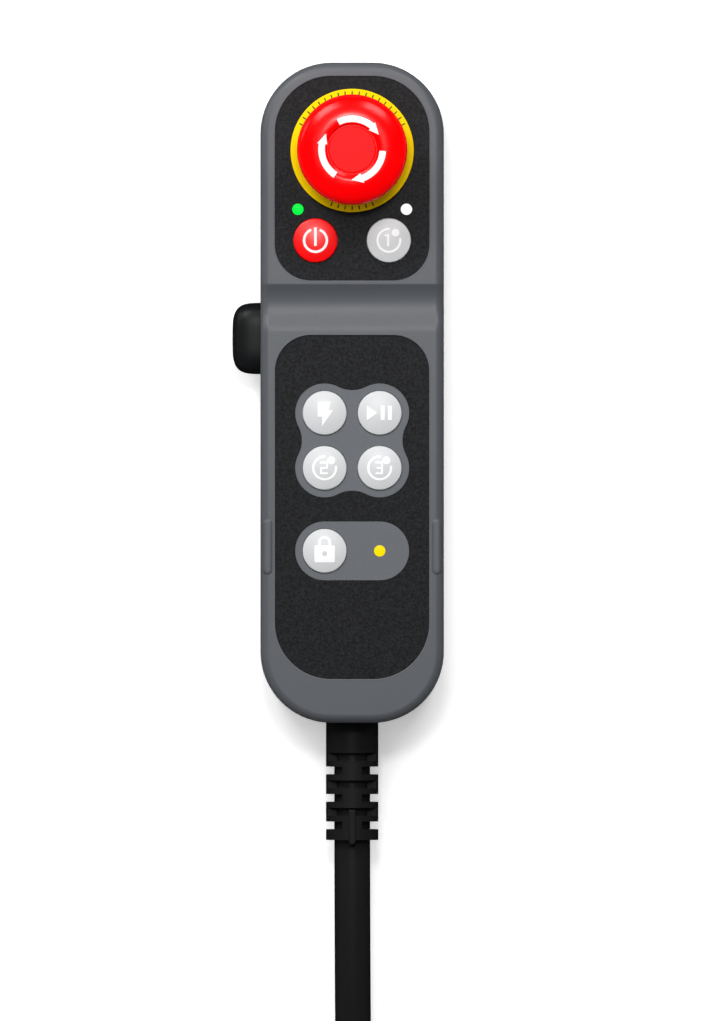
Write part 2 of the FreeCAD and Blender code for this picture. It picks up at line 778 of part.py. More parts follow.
def shell_gasket():
    """The seal in the rear shell's rim, parted where the side and bottom openings cross it."""
    ring = doc.addObject("PartDesign::Body", "gasket_ring")
    sketch = new_sketch(ring, "gasket_outline", "XY", s.split_height - s.seal_height)
    housing_outline(sketch, (s.wall - s.seal_width) / 2)
    housing_outline(sketch, (s.wall + s.seal_width) / 2)
    pad(ring, sketch, s.seal_height, "gasket_pad")
    reach = opening_half_length + s.part_gap
    side = box(
        "gasket_side_gap", -half_width - OUTSIDE, -half_width + s.wall + OUTSIDE,
        enable_place - reach, enable_place + reach, 0, s.body_height,
    )
    reach = s.relief_radius + 2 * s.part_gap
    end = box(
        "gasket_end_gap", -reach, reach, bottom_end - OUTSIDE, bottom_end + s.wall + OUTSIDE,
        0, s.body_height,
    )
    node(cut("shell_gasket_cut", ring, fuse("gasket_gaps", [side, end])), "shell_gasket")


# ---------------------------------------------------------------------------------------------------
# Panels and surrounds
# ---------------------------------------------------------------------------------------------------
def four_key_outline(sketch, grow):
    """Four lobes round the keys, joined by inward bends that are tangent to them."""
    lobe = s.surround_radius + grow
    waist = s.surround_waist
    rise = (half_pitch * half_pitch - waist * waist) / (2 * waist)
    bend = rise - lobe + waist
    short = half_pitch - lobe * half_pitch / (lobe + bend)
    long = half_pitch + lobe * rise / (lobe + bend)
    y = four_key_place
    outline(
        sketch,
        [
            (long, y + short, bend, -1),
            (short, y + long, lobe, 1),
            (-short, y + long, bend, -1),
            (-long, y + short, lobe, 1),
            (-long, y - short, bend, -1),
            (-short, y - long, lobe, 1),
            (short, y - long, bend, -1),
            (long, y - short, lobe, 1),
        ],
    )


def lock_outline(sketch, grow):
    reach = half_pitch + s.surround_radius + grow
    stadium(sketch, -reach, reach, lock_key_row, s.surround_radius + grow)


def upper_panel():
    body = new_body("upper_panel")
    sheet = new_sketch(body, "upper_panel_outline", "XY", recess_floor)
    upper_panel_outline(sheet, 0)
    pad(body, sheet, s.panel_thickness, "upper_panel_sheet")
    holes = new_sketch(body, "upper_panel_holes", "XY", recess_floor)
    front_openings(holes, UPPER_KEYS, UPPER_LAMPS)
    circle(holes, 0, stop_place, s.stop_barrel_radius + s.part_gap)
    pocket(body, holes, s.panel_thickness, "upper_panel_bores", reverse=True)


def lower_panel():
    body = new_body("lower_panel")
    sheet = new_sketch(body, "lower_panel_outline", "XY", recess_floor)
    lower_panel_outline(sheet, 0)
    pad(body, sheet, s.panel_thickness, "lower_panel_sheet")
    holes = new_sketch(body, "lower_panel_holes", "XY", recess_floor)
    four_key_outline(holes, s.mat_gap)
    lock_outline(holes, s.mat_gap)
    pocket(body, holes, s.panel_thickness, "lower_panel_cutouts", reverse=True)


def surround(label, draw, keys, lamps):
    body = new_body(label)
    sheet = new_sketch(body, f"{label}_outline", "XY", recess_floor)
    draw(sheet, 0)
    pad(body, sheet, s.panel_thickness + s.surround_rise, f"{label}_sheet")
    holes = new_sketch(body, f"{label}_holes", "XY", recess_floor)
    front_openings(holes, keys, lamps)
    pocket(body, holes, s.panel_thickness + s.surround_rise, f"{label}_bores", reverse=True)


# ---------------------------------------------------------------------------------------------------
# Keys, lamps, mats and boards
# ---------------------------------------------------------------------------------------------------
def keycap(label, x, y):
    """A round key with a low dome and a flange that the front wall holds back."""
    body = new_body(label)
    edge = panel_top + s.key_rise - key_seat
    top = edge + s.key_dome
    dome = (s.key_radius * s.key_radius + s.key_dome * s.key_dome) / (2 * s.key_dome)
    profile = new_sketch(body, f"{label}_profile", "XZ")
    outline(
        profile,
        [
            (0, 0),
            (s.key_flange_radius, 0),
            (s.key_flange_radius, s.key_flange),
            (s.key_radius, s.key_flange),
            (s.key_radius, edge),
            (0, top, dome, 1),
        ],
    )
    revolve(body, profile, f"{label}_turned")
    rim = s.key_radius.number

    def on_rim(shape):
        return level(edge)(shape) and near(shape.BoundBox.XMax, rim)

    blend_edges(body, on_rim, s.key_edge_round, f"{label}_edge")
    place(body, x, y, key_seat)


def lamp_lens(label, x, y, top):
    """A clear rod from the lamp chip to the panel, held by its flange."""
    chip_gap = 0.9
    low = board_top + chip_gap
    rod = cylinder(f"{label}_rod", s.lamp_radius, top - low, x, y, low)
    flange_low = ceiling - s.key_flange
    flange = cylinder(f"{label}_flange", s.lamp_flange_radius, s.key_flange, x, y, flange_low)
    node(fuse(f"{label}_body", [rod, flange]), label)


def key_mat(label, left, right, bottom, top, keys, lamps, posts):
    """A rubber sheet on its board, with a hollow spring under each key."""
    body = new_body(label)
    sheet = new_sketch(body, f"{label}_outline", "XY", board_top)
    rounded(sheet, left, right, bottom, top, 2)
    pad(body, sheet, s.mat_thickness, f"{label}_sheet")
    height = key_seat - s.mat_gap - board_top
    domes = new_sketch(body, f"{label}_domes", "XY", board_top)
    for x, y in keys.values():
        circle(domes, x, y, s.mat_dome_radius)
    pad(body, domes, height, f"{label}_springs")
    hollows = new_sketch(body, f"{label}_hollows", "XY", board_top)
    for x, y in keys.values():
        circle(hollows, x, y, s.mat_dome_radius - s.mat_thickness)
    pocket(body, hollows, height - s.mat_thickness, f"{label}_cavities", reverse=True)
    holes = new_sketch(body, f"{label}_holes", "XY", board_top)
    for x, y in lamps.values():
        circle(holes, x, y, s.lamp_flange_radius)
    for x, y in posts:
        circle(holes, x, y, s.post_radius + s.part_gap)
    pocket(body, holes, s.mat_thickness, f"{label}_bores", reverse=True)


def circuit_board(label, left, right, bottom, top, posts):
    body = new_body(label)
    sheet = new_sketch(body, f"{label}_outline", "XY", board_bottom)
    rounded(sheet, left, right, bottom, top, 2)
    pad(body, sheet, s.board_thickness, f"{label}_sheet")
    holes = new_sketch(body, f"{label}_holes", "XY", board_bottom)
    for x, y in posts:
        circle(holes, x, y, s.board_screw_radius + s.enable_gap)
    pocket(body, holes, s.board_thickness, f"{label}_bores", reverse=True)


def lamp_chips():
    half = 1.0
    chips = [
        box(f"{label}_chip", x - half, x + half, y - half, y + half, board_top, board_top + 0.8)
        for label, (x, y) in (UPPER_LAMPS | LOWER_LAMPS).items()
    ]
    group("lamp_chips", chips)


def board_screws():
    screws = [
        screw(
            f"board_screw_{i}", x, y, board_bottom, s.board_screw_length,
            s.board_screw_radius, s.board_screw_head_radius, s.board_screw_head_height,
        )
        for i, (x, y) in enumerate(UPPER_POSTS + LOWER_POSTS)
    ]
    group("board_screws", screws)


def boards():
    reach = upper_board_reach
    circuit_board("upper_circuit_board", -reach, reach, upper_board_bottom, upper_board_top, UPPER_POSTS)
    circuit_board(
        "lower_circuit_board", -s.board_half_width, s.board_half_width,
        lower_board_bottom, lower_board_top, LOWER_POSTS,
    )
    key_mat(
        "upper_key_mat", -reach, reach, upper_board_bottom, upper_board_top,
        UPPER_KEYS, UPPER_LAMPS, UPPER_POSTS,
    )
    key_mat(
        "lower_key_mat", -s.board_half_width, s.board_half_width,
        lower_board_bottom, lower_board_top, LOWER_KEYS, LOWER_LAMPS, LOWER_POSTS,
    )
    ribbon_overlap = 1.2
    ribbon = box(
        "ribbon_box", -6, 6, lower_board_top - ribbon_overlap, upper_board_bottom + ribbon_overlap,
        board_bottom - 0.5, board_bottom,
    )
    node(ribbon, "board_link_ribbon")


def wiring():
    """The header under the lower board, and the cable's cores from the jacket's end to it."""
    header_low = axis_height - 5
    header = box(
        "wire_header_box", -7, 7, lower_board_bottom, lower_board_bottom + 5, header_low, board_bottom
    )
    node(header, "wire_header")
    core_radius = 0.9
    start = cable_inner_top
    length = lower_board_bottom - start
    along = Rotation(Vector(1, 0, 0), -90)
    cores = [cylinder("core_middle", core_radius, length, 0, start, axis_height, along)]
    for k in range(6):
        angle = math.radians(60 * k)
        x, z = 2.6 * math.cos(angle), 2.6 * math.sin(angle)
        cores.append(cylinder(f"core_{k}", core_radius, length, x, start, axis_height + z, along))
    group("cable_cores", cores)


# ---------------------------------------------------------------------------------------------------
# Emergency stop: each piece has its own axis as Z and the panel's front as zero height
# ---------------------------------------------------------------------------------------------------
ring_top = s.stop_ring_thickness
flange_low = ring_top + s.stop_seal_thickness
flange_top = flange_low + s.stop_flange_height
barrel_low = -s.stop_barrel_length
head_low = ring_top + s.stop_head_clear
head_top = head_low + s.stop_head_height
cavity_top = head_low + 3.8
socket_top = cavity_top + 3
stem_disc_top = cavity_top - s.shaft_gap
stem_disc_low = stem_disc_top - 1.6
spring_bore_radius = s.spring_radius + s.spring_wire + 0.5
spring_bore_low = flange_top - 15


def stand_stop(body):
    place(body, 0, stop_place, panel_top)


def washer(label, inner, outer, low, high):
    body = new_body(label)
    sketch = new_sketch(body, f"{label}_circles", "XY", low)
    circle(sketch, 0, 0, outer)
    circle(sketch, 0, 0, inner)
    pad(body, sketch, as_size(high) - low, f"{label}_ring")
    stand_stop(body)


def stop_barrel():
    body = new_body("estop_barrel")
    profile = new_sketch(body, "barrel_profile", "XZ")
    guide = s.stop_stem_radius + s.shaft_gap
    outline(
        profile,
        [
            (guide, barrel_low),
            (s.stop_barrel_radius, barrel_low),
            (s.stop_barrel_radius, flange_low),
            (s.stop_flange_radius, flange_low),
            (s.stop_flange_radius, flange_top),
            (spring_bore_radius, flange_top),
            (spring_bore_radius, spring_bore_low),
            (guide, spring_bore_low),
        ],
    )
    revolve(body, profile, "barrel_turned")
    stand_stop(body)


def stop_nut():
    """A hexagonal nut on the barrel, against the inside of the front wall."""
    high = ceiling - panel_top
    prism = doc.addObject("Part::Prism", "nut_prism")
    prism.Polygon = 6
    bind(prism, "Circumradius", s.stop_nut_flats / math.sqrt(3))
    bind(prism, "Height", s.stop_nut_height)
    place(prism, 0, 0, high - s.stop_nut_height)
    bore = cylinder(
        "nut_bore", s.stop_barrel_radius + s.thread_gap, s.stop_nut_height + 2 * OUTSIDE,
        0, 0, high - s.stop_nut_height - OUTSIDE,
    )
    nut = node(cut("nut_cut", prism, bore), "estop_nut")
    stand_stop(nut)


def stop_stem():
    """The stem with the disc that lifts the head, and the pin that the head turns on."""
    body = new_body("estop_stem")
    low = barrel_low - 6
    pin_top = socket_top - s.shaft_gap
    profile = new_sketch(body, "stem_profile", "XZ")
    outline(
        profile,
        [
            (0, low),
            (s.stop_stem_radius, low),
            (s.stop_stem_radius, stem_disc_low),
            (7, stem_disc_low),
            (7, stem_disc_top),
            (s.stop_stem_radius, stem_disc_top),
            (s.stop_stem_radius, pin_top),
            (0, pin_top),
        ],
    )
    revolve(body, profile, "stem_turned")
    stand_stop(body)


def stop_head():
    body = new_body("estop_head")
    r = s.stop_head_radius
    reach = r - s.stop_crest_radius
    crown_drop = s.stop_crown_radius - (
        s.stop_crown_radius * s.stop_crown_radius - reach * reach
    ).root()
    dip = s.stop_crest_radius - s.stop_moat_outer
    dish_drop = s.stop_dish_radius - (s.stop_dish_radius * s.stop_dish_radius - dip * dip).root()
    cavity = s.stop_flange_radius + 0.8
    socket = s.stop_stem_radius + s.shaft_gap
    rim_chamfer = 0.8
    profile = new_sketch(body, "head_profile", "XZ")
    outline(
        profile,
        [
            (0, socket_top),
            (socket, socket_top),
            (socket, cavity_top),
            (cavity, cavity_top),
            (cavity, head_low),
            (r - rim_chamfer, head_low),
            (r, head_low + rim_chamfer),
            (r, head_top - crown_drop),
            (s.stop_crest_radius, head_top, s.stop_crown_radius, 1),
            (s.stop_moat_outer, head_top - dish_drop, s.stop_dish_radius, 1),
            (s.stop_moat_outer, head_top - s.stop_moat_drop),
            (s.stop_moat_inner, head_top - s.stop_moat_drop),
            (s.stop_moat_inner, head_top - s.stop_disc_drop),
            (0, head_top - s.stop_disc_drop),
        ],
    )
    revolve(body, profile, "head_turned")

    def outer_edge(edge):
        return level(head_top - crown_drop)(edge) and near(edge.BoundBox.XMax, r)

    blend_edges(body, outer_edge, s.stop_edge_round, "head_edge")
    stand_stop(body)


def stop_spring():
    """A coil spring round the stem, from the bottom of the barrel's bore to the stem's disc."""
    body = new_body("estop_spring")
    low = spring_bore_low + s.spring_wire + 0.02
    high = stem_disc_low - s.spring_wire - 0.02
    wire = new_sketch(body, "spring_wire_circle", "XZ")
    circle(wire, s.spring_radius, low, s.spring_wire)
    coil = body.newObject("PartDesign::AdditiveHelix", "spring_coil")
    coil.Profile = wire
    coil.ReferenceAxis = (wire, ["V_Axis"])
    coil.Mode = "height-turns-growth"
    coil.Turns = 7
    coil.Growth = 0
    bind(coil, "Height", high - low)
    doc.recompute()
    stand_stop(body)


def stop_contact_block():
    half = s.contact_block_width / 2
    low = barrel_low - s.contact_block_height
    block = box("contact_block_box", -half, half, -half, half, low, barrel_low)
    bore_depth = 6 + s.stop_travel + 1
    bore = cylinder(
        "contact_block_bore", s.stop_stem_radius + s.shaft_gap, bore_depth + OUTSIDE,
        0, 0, barrel_low - bore_depth,
    )
    block = node(cut("contact_block_cut", block, bore), "estop_contact_block")
    stand_stop(block)


# ---------------------------------------------------------------------------------------------------
# Enabling switch
# ---------------------------------------------------------------------------------------------------
inner_wall = -half_width + s.wall
frame_left = inner_wall + s.part_gap
flange_half_length = s.enable_length / 2 + s.enable_flange
flange_half_height = s.enable_height / 2 + s.enable_flange
frame_half_length = flange_half_length + s.enable_gap + s.enable_frame_wall
frame_half_height = flange_half_height + s.enable_gap + s.enable_frame_wall
frame_bottom = axis_height - frame_half_height
frame_right = frame_left + s.enable_frame_depth
button_back = frame_left + s.key_rest_gap + 1.5
switch_half_length = s.enable_length / 2
switch_half_height = s.enable_height / 2 - 1
switch_right = frame_right + s.enable_body_depth


def side_rounded(sketch, half_length, half_height, corner):
    rounded(
        sketch, enable_place - half_length, enable_place + half_length,
        axis_height - half_height, axis_height + half_height, corner,
    )


def enable_button():
    """A domed button with a flange that stays behind the wall."""
    body = new_body("enable_button")
    outer = -half_width - s.enable_proud
    cap = new_sketch(body, "button_outline", "YZ", outer)
    side_rounded(cap, s.enable_length / 2, s.enable_height / 2, s.enable_corner)
    pad(body, cap, button_back - outer, "button_cap")

    def outer_face(edge):
        return near(edge.BoundBox.XMin, outer) and near(edge.BoundBox.XMax, outer)

    blend_edges(body, outer_face, s.enable_edge, "button_round")
    flange = new_sketch(body, "button_flange_outline", "YZ", frame_left + s.key_rest_gap)
    side_rounded(flange, flange_half_length, flange_half_height, s.enable_corner + s.enable_flange)
    pad(body, flange, button_back - frame_left - s.key_rest_gap, "button_flange")


def enable_frame():
    body = new_body("enable_frame")
    sketch = new_sketch(body, "frame_outline", "YZ", frame_left)
    side_rounded(sketch, frame_half_length, frame_half_height, 2)
    inner_corner = s.enable_corner + s.enable_flange + s.enable_gap
    side_rounded(
        sketch, flange_half_length + s.enable_gap, flange_half_height + s.enable_gap, inner_corner
    )
    pad(body, sketch, s.enable_frame_depth, "frame_tube")


def enable_plunger():
    length = frame_right - button_back + s.enable_travel
    turn = Rotation(Vector(0, 1, 0), 90)
    rod = cylinder(
        "plunger_rod", s.plunger_radius, length, button_back, enable_place, axis_height, turn
    )
    node(rod, "enable_plunger")


def enable_spring():
    """A coil spring round the plunger, between the switch and the button."""
    body = new_body("enable_spring")
    wire_radius = 0.25
    spacing = s.plunger_radius + 1.2
    length = frame_right - button_back
    wire = new_sketch(body, "enable_wire_circle", "XZ")
    circle(wire, spacing, wire_radius + 0.02, wire_radius)
    coil = body.newObject("PartDesign::AdditiveHelix", "enable_spring_coil")
    coil.Profile = wire
    coil.ReferenceAxis = (wire, ["V_Axis"])
    coil.Mode = "height-turns-growth"
    coil.Turns = 3
    coil.Growth = 0
    bind(coil, "Height", length - 2 * (wire_radius + 0.02))
    doc.recompute()
    place(body, button_back, enable_place, axis_height, Rotation(Vector(0, 1, 0), 90))


def enable_switch():
    """The three-position switch behind the frame, bored for the plunger."""
    block = box(
        "enable_switch_box", frame_right, switch_right,
        enable_place - switch_half_length, enable_place + switch_half_length,
        axis_height - switch_half_height, axis_height + switch_half_height,
    )
    depth = 2 * s.enable_travel + 0.5
    bore = cylinder(
        "enable_switch_bore", s.plunger_radius + s.shaft_gap, depth + OUTSIDE,
        frame_right - OUTSIDE, enable_place, axis_height, Rotation(Vector(0, 1, 0), 90),
    )
    node(cut("enable_switch_cut", block, bore), "enable_switch_body")


# ---------------------------------------------------------------------------------------------------
# Strain relief and clamp
# ---------------------------------------------------------------------------------------------------
relief_flange_y = bottom_end + s.wall + 4 * s.part_gap
relief_inner_y = relief_flange_y + s.relief_flange
relief_end_y = bottom_end - s.relief_length
bore_radius = s.cable_radius + s.relief_bore_gap
cable_inner_top = bottom_end + s.clamp_place + s.clamp_length / 2 + 4


def strain_relief():
    """A sleeve cut by slots that alternate between its sides and its front and back."""
    body = new_body("strain_relief")
    sleeve = new_sketch(body, "sleeve_circles", "XZ", -relief_flange_y)
    circle(sleeve, 0, axis_height, s.relief_radius)
    circle(sleeve, 0, axis_height, bore_radius)
    pad(body, sleeve, relief_flange_y - relief_end_y, "sleeve")
    flange = new_sketch(body, "relief_flange_circles", "XZ", -relief_inner_y)
    circle(flange, 0, axis_height, s.relief_flange_radius)
    circle(flange, 0, axis_height, bore_radius)
    pad(body, flange, s.relief_flange, "relief_flange_pad")

    reach = s.relief_radius + OUTSIDE
    step = s.relief_slot + s.relief_ring
    first = bottom_end - s.relief_collar
    levels = [(first - k * step, first - k * step - s.relief_slot) for k in range(6)]
    windows = new_sketch(body, "window_outlines", "YZ", -reach)
    for top, bottom in levels[0::2]:
        rectangle(windows, bottom, top, axis_height + s.relief_web, axis_height + reach)
        rectangle(windows, bottom, top, axis_height - reach, axis_height - s.relief_web)
    pocket(body, windows, 2 * reach, "windows", reverse=True)
    slots = new_sketch(body, "slot_outlines", "XY", axis_height - reach)
    for top, bottom in levels[1::2]:
        rectangle(slots, s.relief_web, reach, bottom, top)
        rectangle(slots, -reach, -s.relief_web, bottom, top)
    pocket(body, slots, 2 * reach, "side_slots", reverse=True)

    rib = new_sketch(body, "rib_outline", "XY", axis_height + s.cable_radius + s.enable_gap)
    rib_top = bottom_end - s.rib_start
    half = s.rib_half_width
    round_end = half - 0.05
    rounded(rib, -half, half, rib_top - s.rib_length, rib_top, 0.3, round_end)
    rib_height = s.relief_radius - s.cable_radius - s.enable_gap + 0.7
    pad(body, rib, rib_height, "rib")
    rib_face = axis_height + s.relief_radius + 0.7
    blend_edges(body, level(rib_face), 0.35, "rib_edge")


def cable_clamp():
    half = s.clamp_length / 2
    y = bottom_end + s.clamp_place
    low = axis_height + s.enable_gap
    high = axis_height + s.cable_radius + 2.6
    bar = box("clamp_bar", -s.clamp_half_width, s.clamp_half_width, y - half, y + half, low, high)
    along = Rotation(Vector(1, 0, 0), -90)
    tools = [
        cylinder("clamp_cable_bore", s.cable_radius, 2 * s.clamp_length, 0, y - s.clamp_length,
                 axis_height, along)
    ]
    for side in (-1, 1):
        x = side * s.clamp_screw_reach
        tools.append(cylinder(f"clamp_bore_{side + 1}", s.screw_radius + s.part_gap, 20, x, y, low - 5))
    node(cut("clamp_cut", bar, fuse("clamp_tools", tools)), "cable_clamp")
    screws = [
        screw(
            f"clamp_screw_{side + 1}", side * s.clamp_screw_reach, y, high, 14,
            s.screw_radius, s.screw_head_radius, s.screw_head_height, up=False,
        )
        for side in (-1, 1)
    ]
    group("clamp_screws", screws)


def case_fasteners():
    screws = [
        screw(
            f"case_screw_{i}", x, y, s.screw_seat, s.screw_length,
            s.screw_radius, s.screw_head_radius, s.screw_head_height,
        )
        for i, (x, y) in enumerate(BOSSES)
    ]
    group("case_screws", screws)
    inserts = []
    for i, (x, y) in enumerate(BOSSES):
        tube = cylinder(f"insert_tube_{i}", s.insert_radius, s.insert_length, x, y, s.split_height)
        bore = cylinder(
            f"insert_bore_{i}", s.screw_radius + s.thread_gap, s.insert_length + 2 * OUTSIDE,
            x, y, s.split_height - OUTSIDE,
        )
        inserts.append(cut(f"insert_{i}", tube, bore))
    group("threaded_inserts", inserts)


# ---------------------------------------------------------------------------------------------------
# Cable, hank and ties
# ---------------------------------------------------------------------------------------------------
CABLE_RADIUS = s.cable_radius.number


def tube_path(points):
    """Straight runs joined by tangent arcs, each as large as its two runs allow."""
    points = [Vector(*p) for p in points]
    pieces = []
    last = points[0]
    for i in range(1, len(points) - 1):
        back = points[i - 1] - points[i]
        ahead = points[i + 1] - points[i]
        turn = math.pi - back.getAngle(ahead)
        tangent = 0.45 * min(back.Length, ahead.Length)
        radius = tangent / math.tan(turn / 2)
        start = points[i] + back.normalize() * tangent
        end = points[i] + ahead.normalize() * tangent
        inward = (back + ahead).normalize()
        centre = points[i] + inward * math.hypot(radius, tangent)
        middle = centre - inward * radius
        pieces.append(Part.LineSegment(last, start).toShape())
        pieces.append(Part.Arc(start, middle, end).toShape())
        print(f"bend {i}: turn {math.degrees(turn):.1f} degrees, radius {radius:.1f} mm")
        if radius < CABLE_MIN_BENDS * 2 * CABLE_RADIUS:
            raise RuntimeError("a bend of the cable is too tight")
        last = end
    pieces.append(Part.LineSegment(last, points[-1]).toShape())
    return Part.Wire(pieces)


def cable_tube(label, points):
    path = tube_path(points)
    start = Vector(*points[0])
    along = Vector(*points[1]) - start
    ring = Part.Wire(Part.makeCircle(CABLE_RADIUS, start, along))
    solid = path.makePipeShell([ring], True, True)
    expected = math.pi * CABLE_RADIUS**2 * path.Length
    print(f"{label}: length {path.Length:.1f} mm, volume {solid.Volume / expected:.4f} of its section's")
    if abs(solid.Volume / expected - 1) > 0.01:
        raise RuntimeError(f"{label} has the wrong volume")
    thing = doc.addObject("Part::Feature", f"{label}_solid")
    thing.Shape = solid
    node(thing, label)


def hank():
    """One solid of the hank's outer shape: a long ring with half-round ends."""
    body = new_body("cable_hank")
    diameter = 2 * CABLE_RADIUS
    far = HANK_NEAR_Y - HANK_RUN
    sketch = new_sketch(body, "hank_outline", "XY", HANK_FLOOR)
    for reach in (4.5 * diameter, 2.5 * diameter):
        left, right = HANK_X - reach, HANK_X + reach
        outline(
            sketch,
            [
                (left, far),
                (HANK_X, far - reach, reach, 1),
                (right, far, reach, 1),
                (right, HANK_NEAR_Y),
                (HANK_X, HANK_NEAR_Y + reach, reach, 1),
                (left, HANK_NEAR_Y, reach, 1),
            ],
        )
    pad(body, sketch, HANK_LAYERS * diameter, "hank_ring")


def hank_ties():
    """Two straps, each round one side of the hank."""
    diameter = 2 * CABLE_RADIUS
    half = diameter + TIE_SLACK
    high = HANK_FLOOR + HANK_LAYERS * diameter + TIE_SLACK
    straps = []
    for name, across, y in TIES:
        x = HANK_X + across * diameter
        body = doc.addObject("PartDesign::Body", f"{name}_tie")
        sketch = new_sketch(body, f"{name}_tie_outline", "XZ", -(y + TIE_WIDTH / 2))
        grown = half + TIE_THICKNESS
        rounded(sketch, x - grown, x + grown, 0, high + TIE_THICKNESS, TIE_SLACK + TIE_THICKNESS)
        rounded(sketch, x - half, x + half, TIE_THICKNESS, high, TIE_SLACK)
        pad(body, sketch, TIE_WIDTH, f"{name}_tie_strap")
        straps.append(body)
    group("hank_ties", straps)


def inner_cable():
    """The end of the cable's jacket, held by the clamp."""
    start = ROUTE[0][1]
    rod = cylinder(
        "inner_cable_rod", s.cable_radius, cable_inner_top - start, 0, start, axis_height,
        Rotation(Vector(1, 0, 0), -90),
    )
    node(rod, "cable_inner_end")


# ---------------------------------------------------------------------------------------------------
# Connector, drawn along its own Z from the cable to the nose
# ---------------------------------------------------------------------------------------------------
plug_back = as_size(TAIL[-1][1]) - TAIL_IN_PLUG
nut_end = s.plug_nut_length
ring_start = nut_end + s.plug_body_length
ring_end = ring_start + s.plug_ring_length
nose_end = ring_end + s.plug_nose_length
FACETS = 12


def stand_plug(thing):
    """Lays a connector piece along Y at the end of the cable."""
    return place(thing, TAIL[-1][0], plug_back, TAIL[-1][2], Rotation(Vector(1, 0, 0), -90))


def plug_revolved(label, corners):
    body = new_body(label)
    profile = new_sketch(body, f"{label}_profile", "XZ")
    outline(profile, corners)
    revolve(body, profile, f"{label}_turned")
    stand_plug(body)
    return body


def connector():
    bore = s.cable_radius + s.thread_gap
    chamfer = 1.2
    nut = s.plug_nut_radius
    plug_revolved(
        "plug_cable_nut",
        [(bore, 0), (nut - 2.5, 0), (nut, 4), (nut, nut_end - 0.3), (bore, nut_end - 0.3)],
    )
    r, nose, inside = s.plug_radius, s.plug_nose_radius, s.plug_nose_bore
    journal = s.plug_journal_radius
    plug_revolved(
        "plug_shell",
        [
            (bore, nut_end),
            (r - chamfer, nut_end),
            (r, nut_end + chamfer),
            (r, ring_start - 0.4),
            (journal, ring_start - 0.4),
            (journal, ring_end),
            (nose, ring_end),
            (nose, nose_end - 0.6),
            (nose - 0.6, nose_end),
            (inside, nose_end),
            (inside, ring_start),
            (bore, ring_start),
        ],
    )
    ring = s.plug_ring_radius
    ring_bore = journal + s.shaft_gap
    plug_revolved(
        "plug_coupling_ring",
        [
            (ring_bore, ring_start),
            (ring - chamfer, ring_start),
            (ring, ring_start + chamfer),
            (ring, ring_end - chamfer),
            (ring - chamfer, ring_end),
            (ring_bore, ring_end),
        ],
    )
    insert_end = nose_end - 7
    insert = new_body("plug_insert")
    disc = new_sketch(insert, "insert_circle", "XY", ring_start)
    circle(disc, 0, 0, inside - s.thread_gap)
    pad(insert, disc, insert_end - ring_start, "insert_disc")
    holes = new_sketch(insert, "insert_pin_holes", "XY", ring_start)
    places = [(0, 0)]
    for k in range(6):
        angle = math.radians(60 * k)
        places.append((s.pin_circle * math.cos(angle), s.pin_circle * math.sin(angle)))
    for x, y in places:
        circle(holes, x, y, s.pin_radius + s.thread_gap)
    pocket(insert, holes, insert_end - ring_start, "insert_pin_bores", reverse=True)
    stand_plug(insert)
    pins = [
        cylinder(f"pin_{k}", s.pin_radius, nose_end - 1.5 - ring_start, x, y, ring_start)
        for k, (x, y) in enumerate(places)
    ]
    stand_plug(group("plug_pins", pins))


# ---------------------------------------------------------------------------------------------------
# Build, check and write
# ---------------------------------------------------------------------------------------------------
front_shell()
rear_shell()
shell_gasket()
upper_panel()
lower_panel()
four_keys = {name: where for name, where in LOWER_KEYS.items() if name != "lock_key"}
surround("four_key_surround", four_key_outline, four_keys, {})
surround("lock_key_surround", lock_outline, {"lock_key": LOWER_KEYS["lock_key"]}, LOWER_LAMPS)
for name, (x, y) in (UPPER_KEYS | LOWER_KEYS).items():
    keycap(name, x, y)
for name, (x, y) in UPPER_LAMPS.items():
    lamp_lens(name, x, y, panel_top + s.lamp_rise)
for name, (x, y) in LOWER_LAMPS.items():
    lamp_lens(name, x, y, panel_top + s.surround_rise + s.lamp_rise)
boards()
lamp_chips()
board_screws()
wiring()
barrel_bore = s.stop_barrel_radius + s.part_gap
washer("estop_ring", barrel_bore, s.stop_ring_radius, 0, ring_top)
washer("estop_seal", barrel_bore, s.stop_flange_radius - 1, ring_top, flange_low)
stop_barrel()
stop_nut()
stop_stem()
stop_head()
stop_spring()
stop_contact_block()
enable_button()
enable_frame()
enable_plunger()
enable_spring()
enable_switch()
strain_relief()
cable_clamp()
case_fasteners()
cable_tube("cable_tube", ROUTE)
cable_tube("cable_tail", TAIL)
hank()
hank_ties()
inner_cable()
connector()

doc.recompute()
for thing in doc.Objects:
    if "Invalid" in thing.State or "Error" in thing.State:
        raise RuntimeError(f"{thing.Label} failed: {thing.State}")
os.makedirs("parts", exist_ok=True)
for thing in nodes:
    if thing.Shape.isNull() or not thing.Shape.isValid() or not thing.Shape.Solids:
        raise RuntimeError(f"{thing.Label} has no valid solid")
for thing in nodes:
    thing.Shape.exportStep(f"parts/{thing.Label}.step")
print(f"{len(nodes)} nodes written")
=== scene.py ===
# %% [markdown]
# # A hand-held control pendant
#
# The real object is a slim moulded grip with an emergency stop, domed keys, small lamps and a side
# enabling switch. It hangs on a black cable that ends in a round connector.
#
# Its working parts come as a fixed frame of solids. This script gives every solid its finish, and it
# replaces the ones that need finer shapes than a collision model has: keys, stop, cable and connector.

import math
import random

import bmesh
import bpy
from mathutils import Matrix, Vector


